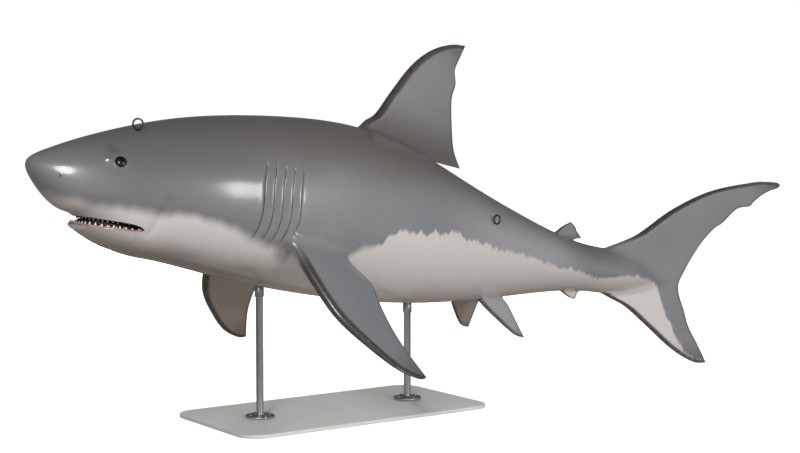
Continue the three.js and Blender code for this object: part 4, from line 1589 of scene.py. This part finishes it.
def whiteness(g, where, s, z, drift):
    """1 below the line and 0 above it: soft on the head, with ragged licks behind the fins."""
    licks = g.noise(g.stretch(where, (27, 8, 6)), 1.0, 1.0, 0.5)
    behind = s.rise(1.26, 1.42)
    wild = 0.016 + behind * (0.075 - s.rise(1.75, 2.3) * 0.045)
    soft = 0.026 - behind * 0.016
    below = (paint_line(g, s) - z + (licks - 0.5) * wild + (drift - 0.5) * 0.05) / soft
    return below.rise(-1, 1)


print("points on the paint line:", len(PAINT_LINE))

# %% Coats of paint
BACK = colour(112, 107, 104)
FLANK = colour(142, 142, 144)
SHADE = colour(126, 129, 135)
SNOUT = colour(104, 102, 101)
REAR = colour(172, 172, 175)
BELLY = colour(222, 216, 213)
# painted shade: the belly's underside a browner white, the throat and the jaw's underside darker
# still
SHADED_UNDERSIDE = colour(204, 196, 188)
SHADED_THROAT = colour(147, 138, 129)
# the paired fins' undersides: a dim brownish white, partly painted shade
BENEATH_SHADED = colour(166, 155, 144)
# dark brown: dust on the fins, a spot over each brow, and painted shade on the fins' leading edges,
# at the dorsal fin's root and before the pectoral fins
DUST_AND_SHADE = colour(60, 51, 46)
SPECK = colour(40, 40, 42)
BROW, ARMPIT = (0.262, 0.112), (0.965, -0.165)


def from_spot(s, z, spot):
    """Distance from a spot (s, z) on the side."""
    return ((s - spot[0]) ** 2 + (z - spot[1]) ** 2) ** 0.5


def grey_coat(g, s, z, cloud, drift, outer_fin):
    """Clouded grey: brown along the back, darker on the snout and paler to the rear."""
    high = (z + (cloud - 0.5) * 0.09 + s.rise(1.6, 2.7) * 0.14).rise(0.10, 0.30)
    grey = g.mix((cloud - 0.35) * 1.6, FLANK, SHADE)
    grey = g.mix(high * (1 - outer_fin) * s.rise(3.0, 2.75), grey, BACK)
    # a dark brown spot over each brow
    grey = g.mix(from_spot(s, z, BROW).rise(0.034, 0.0) * 0.7, grey, DUST_AND_SHADE)
    grey = g.mix((z + drift * 0.06).rise(-0.02, 0.17) * s.rise(1.0, 0.45) * 0.55, grey, SNOUT)
    grey = g.mix(s.rise(1.2, 0.5) * s.rise(0.10, 0.35) * 0.55, grey, SNOUT)
    return g.mix(s.rise(1.65, 2.1) * s.rise(2.75, 2.4) * (1 - high) * 0.8, grey, REAR)


def pale_coat_and_shade(g, s, z, cloud):
    """Off-white with painted shade: browner underneath and darker along the throat."""
    low = (z + (cloud - 0.5) * 0.08).rise(-0.17, -0.30)
    pale = g.mix(low * (1 - s.rise(3.0, 3.1)), BELLY, SHADED_UNDERSIDE)
    return g.mix(low * s.rise(1.15, 0.8) * 0.85, pale, SHADED_THROAT)


def fin_dust_and_shade(s, lead, trail, tip, cloud):
    """Dust on a fin's tip and edges, wider on small fins; the leading-edge band is partly painted
    shade.
    """
    small = s.rise(1.99, 2.05) * s.rise(2.95, 2.85)
    edge = (lead + small * 0.014).rise(0.034, 0.017).above(trail.rise(0.018, 0.002) * 0.7)
    return (edge * tip.rise(0.02, 0.22)).above(tip.rise(0.70, 1.02) * (0.55 + 0.3 * cloud))


print("the belly is %.1f times as bright as the back" % (sum(BELLY[:3]) / sum(BACK[:3])))


# %% Painted skin
def painted_skin():
    """Airbrushed paint under a gloss lacquer."""
    finish = Finish("painted_skin", specular_ior_level=0.5, coat_roughness=0.14, coat_ior=1.5)
    g = finish.graph
    where = finish.attribute("straight")
    s, _, z = g.parts(where)
    lead, trail, tip = g.parts(finish.attribute("fin"))
    upper = g.parts(finish.attribute("upper"))[0]
    drift = g.noise(g.stretch(where, (7, 5, 4)), 1.0, 2.0)
    cloud = g.noise(where, 3.2, 3.0, 0.55)
    speck = g.noise(where, 55.0, 2.0, 0.6)
    on_fin = lead.rise(0.8, 0.7)

    white = whiteness(g, where, s, z, drift) * (1 - upper.rise(0.2, 0.7))
    grey = grey_coat(g, s, z, cloud, drift, on_fin * tip.rise(0.05, 0.35))
    base = g.mix(white, grey, pale_coat_and_shade(g, s, z, cloud))
    # partly painted shade: the paired fins' undersides a dim brownish white away from the root
    base = g.mix(upper.rise(-0.2, -0.7) * tip.rise(0.02, 0.3) * 0.8, base, BENEATH_SHADED)
    # dark brown on the fins: dust, and painted shade along the leading edges
    edge_dust_and_shade = fin_dust_and_shade(s, lead, trail, tip, cloud) * on_fin * (0.9 + (speck - 0.5) * 0.4)
    base = g.mix(edge_dust_and_shade, base, DUST_AND_SHADE)
    # painted shade: the dorsal fin darker towards its root, where it meets the back
    foot = on_fin * s.rise(1.3, 1.4) * s.rise(2.05, 1.98) * z.rise(0.62, 0.40) * z.rise(0.2, 0.3)
    base = g.mix(foot * 0.35, base, DUST_AND_SHADE)
    # brown paint and painted shade on the belly just before and below the pectoral fin's root
    armpit = from_spot(s, z, ARMPIT).rise(0.06, 0.01) * (1 - on_fin)
    base = g.mix(armpit * 0.55, base, DUST_AND_SHADE)
    base = g.mix((speck - 0.5) * 0.22, base, SPECK)
    finish.set(base_color=base)

    finish.set(roughness=0.34 + (cloud - 0.5) * 0.10 + (speck - 0.5) * 0.05)
    under_snout = s.rise(0.44, 0.36) * z.rise(-0.08, -0.12) * z.rise(-0.172, -0.160)
    finish.set(coat_weight=(0.9 - (cloud - 0.5) * 0.25) * (1 - under_snout * 0.85))
    peel = g.noise(where, 90.0, 2.0, 0.5)
    waves = g.noise(where, 14.0, 2.0, 0.5)
    finish.bump(peel * 0.25 + waves, 0.35, 0.0012)
    return finish.material


print("skin finish ready")


# %% Mouth lining
def mouth_lining():
    """The inside of the mouth: dark wine red, wet, and partly painted shade inside the mouth."""
    finish = Finish("mouth_lining", coat_weight=0.1, coat_roughness=0.4)
    g = finish.graph
    mottle = g.noise(finish.place, 40.0, 3.0, 0.6)
    finish.set(base_color=g.mix(mottle, colour(36, 20, 18), colour(62, 38, 34)))
    finish.set(roughness=0.6 + mottle * 0.2)
    finish.bump(mottle, 0.4, 0.002)
    return finish.material


print("lining finish ready")

# %% Dressing the skin
lining = mouth_lining()
# the mouth's inside, the tongue and the eye sockets take the dark lining, partly painted shade
skin.data.polygons.foreach_set("material_index", lined.astype(int))
skin.data.polygons.foreach_set("use_smooth", np.ones_like(lined))
dress(skin, painted_skin(), lining)
print("skin painted")

# %% [markdown]
# ## Gums, teeth and eyes
#
# Wet things are told by their shine: the lower gum is mottled pink-brown under a wet coat, the
# upper gum takes the mouth's dark lining as painted shade, the teeth are ivory and darker at the
# root, and the eyes near black with a brown rim that shows from the side.

# %% Mouth and eye finishes
def gum_flesh():
    """Mottled pink-brown gum, wet."""
    finish = Finish("gum_flesh", coat_weight=0.8, coat_roughness=0.08)
    g = finish.graph
    mottle = g.noise(finish.place, 34.0, 3.0, 0.6)
    veins = g.noise(finish.place, 150.0, 3.0, 0.6)
    pink = g.mix(mottle.rise(0.3, 0.7), colour(164, 126, 118), colour(198, 162, 152))
    finish.set(base_color=g.mix(veins.rise(0.52, 0.72) * 0.4, pink, colour(132, 86, 80)))
    finish.set(roughness=0.32 + mottle * 0.15)
    finish.bump(mottle + veins * 0.4, 0.5, 0.0015)
    return finish.material


def tooth_enamel():
    """Ivory blades, stained at the root."""
    finish = Finish("tooth_enamel", coat_weight=0.5, coat_roughness=0.1)
    g = finish.graph
    level, _, _ = g.parts(finish.attribute("level"))
    streak = g.noise(finish.place, 260.0, 2.0, 0.5)
    ivory = g.mix(streak, colour(236, 230, 218), colour(250, 247, 240))
    finish.set(base_color=g.mix(level.rise(0.28, 0.06), ivory, colour(196, 164, 140)))
    finish.set(roughness=0.25 + streak * 0.15)
    return finish.material


def eye_glass():
    """A black pupil in a dark iris with a red-brown rim, under clear glass."""
    finish = Finish("eye_glass", coat_weight=0.8, coat_roughness=0.09, specular_ior_level=0.2)
    g = finish.graph
    a, b, _ = g.parts(finish.attribute("iris"))
    radius = (a * a + b * b) ** 0.5
    fibres = g.noise(g.stretch(finish.attribute("iris"), (9, 9, 1)), 2.0, 3.0, 0.6)
    iris = g.mix(radius.rise(0.5, 0.78), colour(10, 9, 8), colour(34, 26, 23))
    behind = (0 - a).rise(0.15, 0.6)
    rim = g.mix(behind * radius.rise(0.4, 0.75) * fibres, iris, colour(112, 78, 66))
    finish.set(base_color=g.mix(radius.rise(0.42, 0.35), rim, colour(6, 5, 5)))
    finish.set(roughness=0.3 + fibres * 0.1)
    return finish.material


# the upper gum takes the dark lining instead of gum: painted shade under the upper lip
for name, gum in gums.items():
    dress(gum, gum_flesh() if name == "lower_gum" else lining, tooth_enamel())
for eye in eyes.values():
    dress(eye, eye_glass())
print("gums, teeth and eyes finished")

# %% [markdown]
# ## Metal and the base
#
# The rings are forged steel gone dark with handling, the rods are brushed up and down, and the
# base is powder coated, which leaves a fine even orange peel.

# %% Metal and base finishes
def forged_steel():
    """Dark oxidised steel, rubbed brighter in patches."""
    finish = Finish("forged_steel", metallic=1.0)
    g = finish.graph
    patch = g.noise(finish.place, 60.0, 4.0, 0.65)
    grain = g.noise(finish.place, 900.0, 2.0, 0.5)
    finish.set(base_color=g.mix(patch.rise(0.45, 0.75), colour(70, 67, 65), colour(132, 128, 124)))
    finish.set(roughness=0.46 - patch * 0.2 + grain * 0.08)
    finish.bump(patch + grain * 0.2, 0.3, 0.0006)
    return finish.material


def brushed_steel():
    """Stainless steel brushed along the rod."""
    finish = Finish("brushed_steel", metallic=1.0)
    g = finish.graph
    brush = g.noise(g.stretch(finish.place, (900, 900, 14)), 1.0, 2.0, 0.6)
    smear = g.noise(finish.place, 12.0, 2.0, 0.5)
    finish.set(base_color=g.mix(brush, colour(168, 168, 167), colour(200, 200, 198)))
    finish.set(roughness=0.24 + brush * 0.14 + smear * 0.08)
    finish.bump(brush, 0.12, 0.0003)
    return finish.material


def powder_coat():
    """Pale grey powder coat."""
    finish = Finish("powder_coat", coat_weight=0.15, coat_roughness=0.3)
    g = finish.graph
    peel = g.noise(finish.place, 420.0, 2.0, 0.5)
    cloud = g.noise(finish.place, 5.0, 2.0, 0.5)
    finish.set(base_color=g.mix(cloud, colour(228, 228, 226), colour(236, 236, 234)))
    finish.set(roughness=0.42 + peel * 0.1 + cloud * 0.06)
    finish.bump(peel, 0.25, 0.0005)
    return finish.material


for ring in rings.values():
    dress(ring, forged_steel())
brushed_steel()             # fills in the steel that the screws already carry
for piece, _ in rods.values():
    dress(piece, steel)
dress(base, powder_coat())
print("metal and base finished")

# %% [markdown]
# ## Studio
#
# The room is pale and plain. The floor is a wide round sheet that curls up far away, so there is
# no horizon. A tall soft box beside the camera draws the streak on the snout, and a small one far
# to the right draws the one on the gills. Two more lamps fill the sides and don't show in the coat.

# %% Floor
FLOOR = {"flat": 36.0, "curl": 12.0, "turns": 96, "glow": 0.95}


def floor_sheet():
    """A round floor that curls up at its edge. It glows a little, which keeps it pale."""
    profile = [(r, 0.0) for r in (0.05, 1, 3, 8, 20, FLOOR["flat"])]
    profile += [(FLOOR["flat"] + FLOOR["curl"] * math.sin(a), FLOOR["curl"] * (1 - math.cos(a)))
                for a in np.linspace(0.1, math.pi / 2, 14)]
    points, faces = stacked(turned(profile, FLOOR["turns"]))
    floor = shell("floor", points, faces[: len(faces) - FLOOR["turns"]], merge=1e-6)
    finish = Finish("floor_paper", roughness=0.9, specular_ior_level=0.0,
                    emission_strength=FLOOR["glow"])
    tone = finish.graph.noise(finish.place, 0.6, 2.0, 0.5)
    paper = finish.graph.mix(tone, colour(244, 244, 244), colour(247, 247, 247))
    finish.set(base_color=paper, emission_color=paper)
    floor.data.materials.append(finish.material)
    floor.visible_diffuse = floor.visible_glossy = False
    return floor


floor = floor_sheet()
print("floor:", triangles(floor), "triangles")

# %% Lights
LIGHTS = (                  # azimuth, elevation, distance, size, power, and whether a coat shows it
    ("key", CAMERA["azimuth"] - 11, 24, 11, (2.5, 4.6), 470, True),
    ("glint", CAMERA["azimuth"] + 45.5, 11, 11, (1.9, 2.9), 190, True),
    ("side", CAMERA["azimuth"] + 53, 11, 11, (3.6, 2.9), 235, False),
    ("far", 160, 14, 11, (3, 3), 650, False),
)
ROOM = {"side": (0.38, 0.38, 0.39, 1), "overhead": (0.12, 0.12, 0.12, 1),
        "beneath": (0.20, 0.175, 0.15, 1)}


def softbox(name, azimuth, elevation, distance, size, power, shown):
    """A large soft lamp aimed at the shark."""
    lamp = bpy.data.lights.new(name, "AREA")
    lamp.shape = "ELLIPSE"
    lamp.size, lamp.size_y = size
    lamp.energy = power
    spot = AIM + towards(azimuth, elevation) * distance
    box = looking(name, lamp, spot, AIM)
    box.visible_glossy = shown
    return box


def room_light(side, overhead, beneath):
    """A dim room: brightest at the height of the horizon, on the side where the camera stands."""
    room = bpy.data.worlds.new("room")
    bpy.context.scene.world = room
    room.use_nodes = True
    g = Graph(room.node_tree)
    facing = g.node("ShaderNodeTexCoord")["Generated"]
    _, _, height = g.parts(facing)
    near = g.node("ShaderNodeVectorMath", {"operation": "DOT_PRODUCT"},
                  (facing, towards(-10, 0)))[1]
    band = near.rise(-0.2, 0.9) * abs(height).rise(0.9, 0.1)
    ends = g.mix(height.rise(-0.35, 0.25), beneath, overhead)
    light = g.node("ShaderNodeBackground", inputs=(g.mix(band, ends, side), 1.0))
    g.node("ShaderNodeOutputWorld", inputs=(light[0],))


room_light(**ROOM)
for light in LIGHTS:
    softbox(*light)
print("lights:", len(LIGHTS))

# %% [markdown]
# ## The pieces
#
# Every piece rides on the one still body, and the CAD nodes it stands for are hidden. Each line of
# the table holds a piece, its CAD nodes and the name of the record's finish for it.

# %% Bodies, nodes and slots
FLESH = ["head", "lower_jaw", "trunk", "tail"]
FLESH += [node for node in frame["nodes"] if node.endswith("_fin") or "_fin_" in node]
PIECES = [(skin, FLESH, "painted_skin"),
          (gums["lower_gum"], ["lower_teeth"], "gums"),
          (gums["upper_gum"], ["upper_teeth"], "gums"),
          (eyes["left"], ["eye_left"], "eye_glass"), (eyes["right"], ["eye_right"], "eye_glass")]
PIECES += [(ring, [node], "ring_steel") for node, ring in rings.items()]
PIECES += [(base, ["stand_base"], "stand_paint")]
PIECES += [(piece, [node], "stand_steel") for node, (piece, _) in rods.items()]
PIECES += [(screws, [], "stand_steel")]
for piece, nodes, slot in PIECES:
    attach(piece, "root")
    if nodes:
        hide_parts(*nodes)
total = sum(triangles(piece) for piece, _, _ in PIECES)
print("pieces:", len(PIECES), "triangles in all:", total)
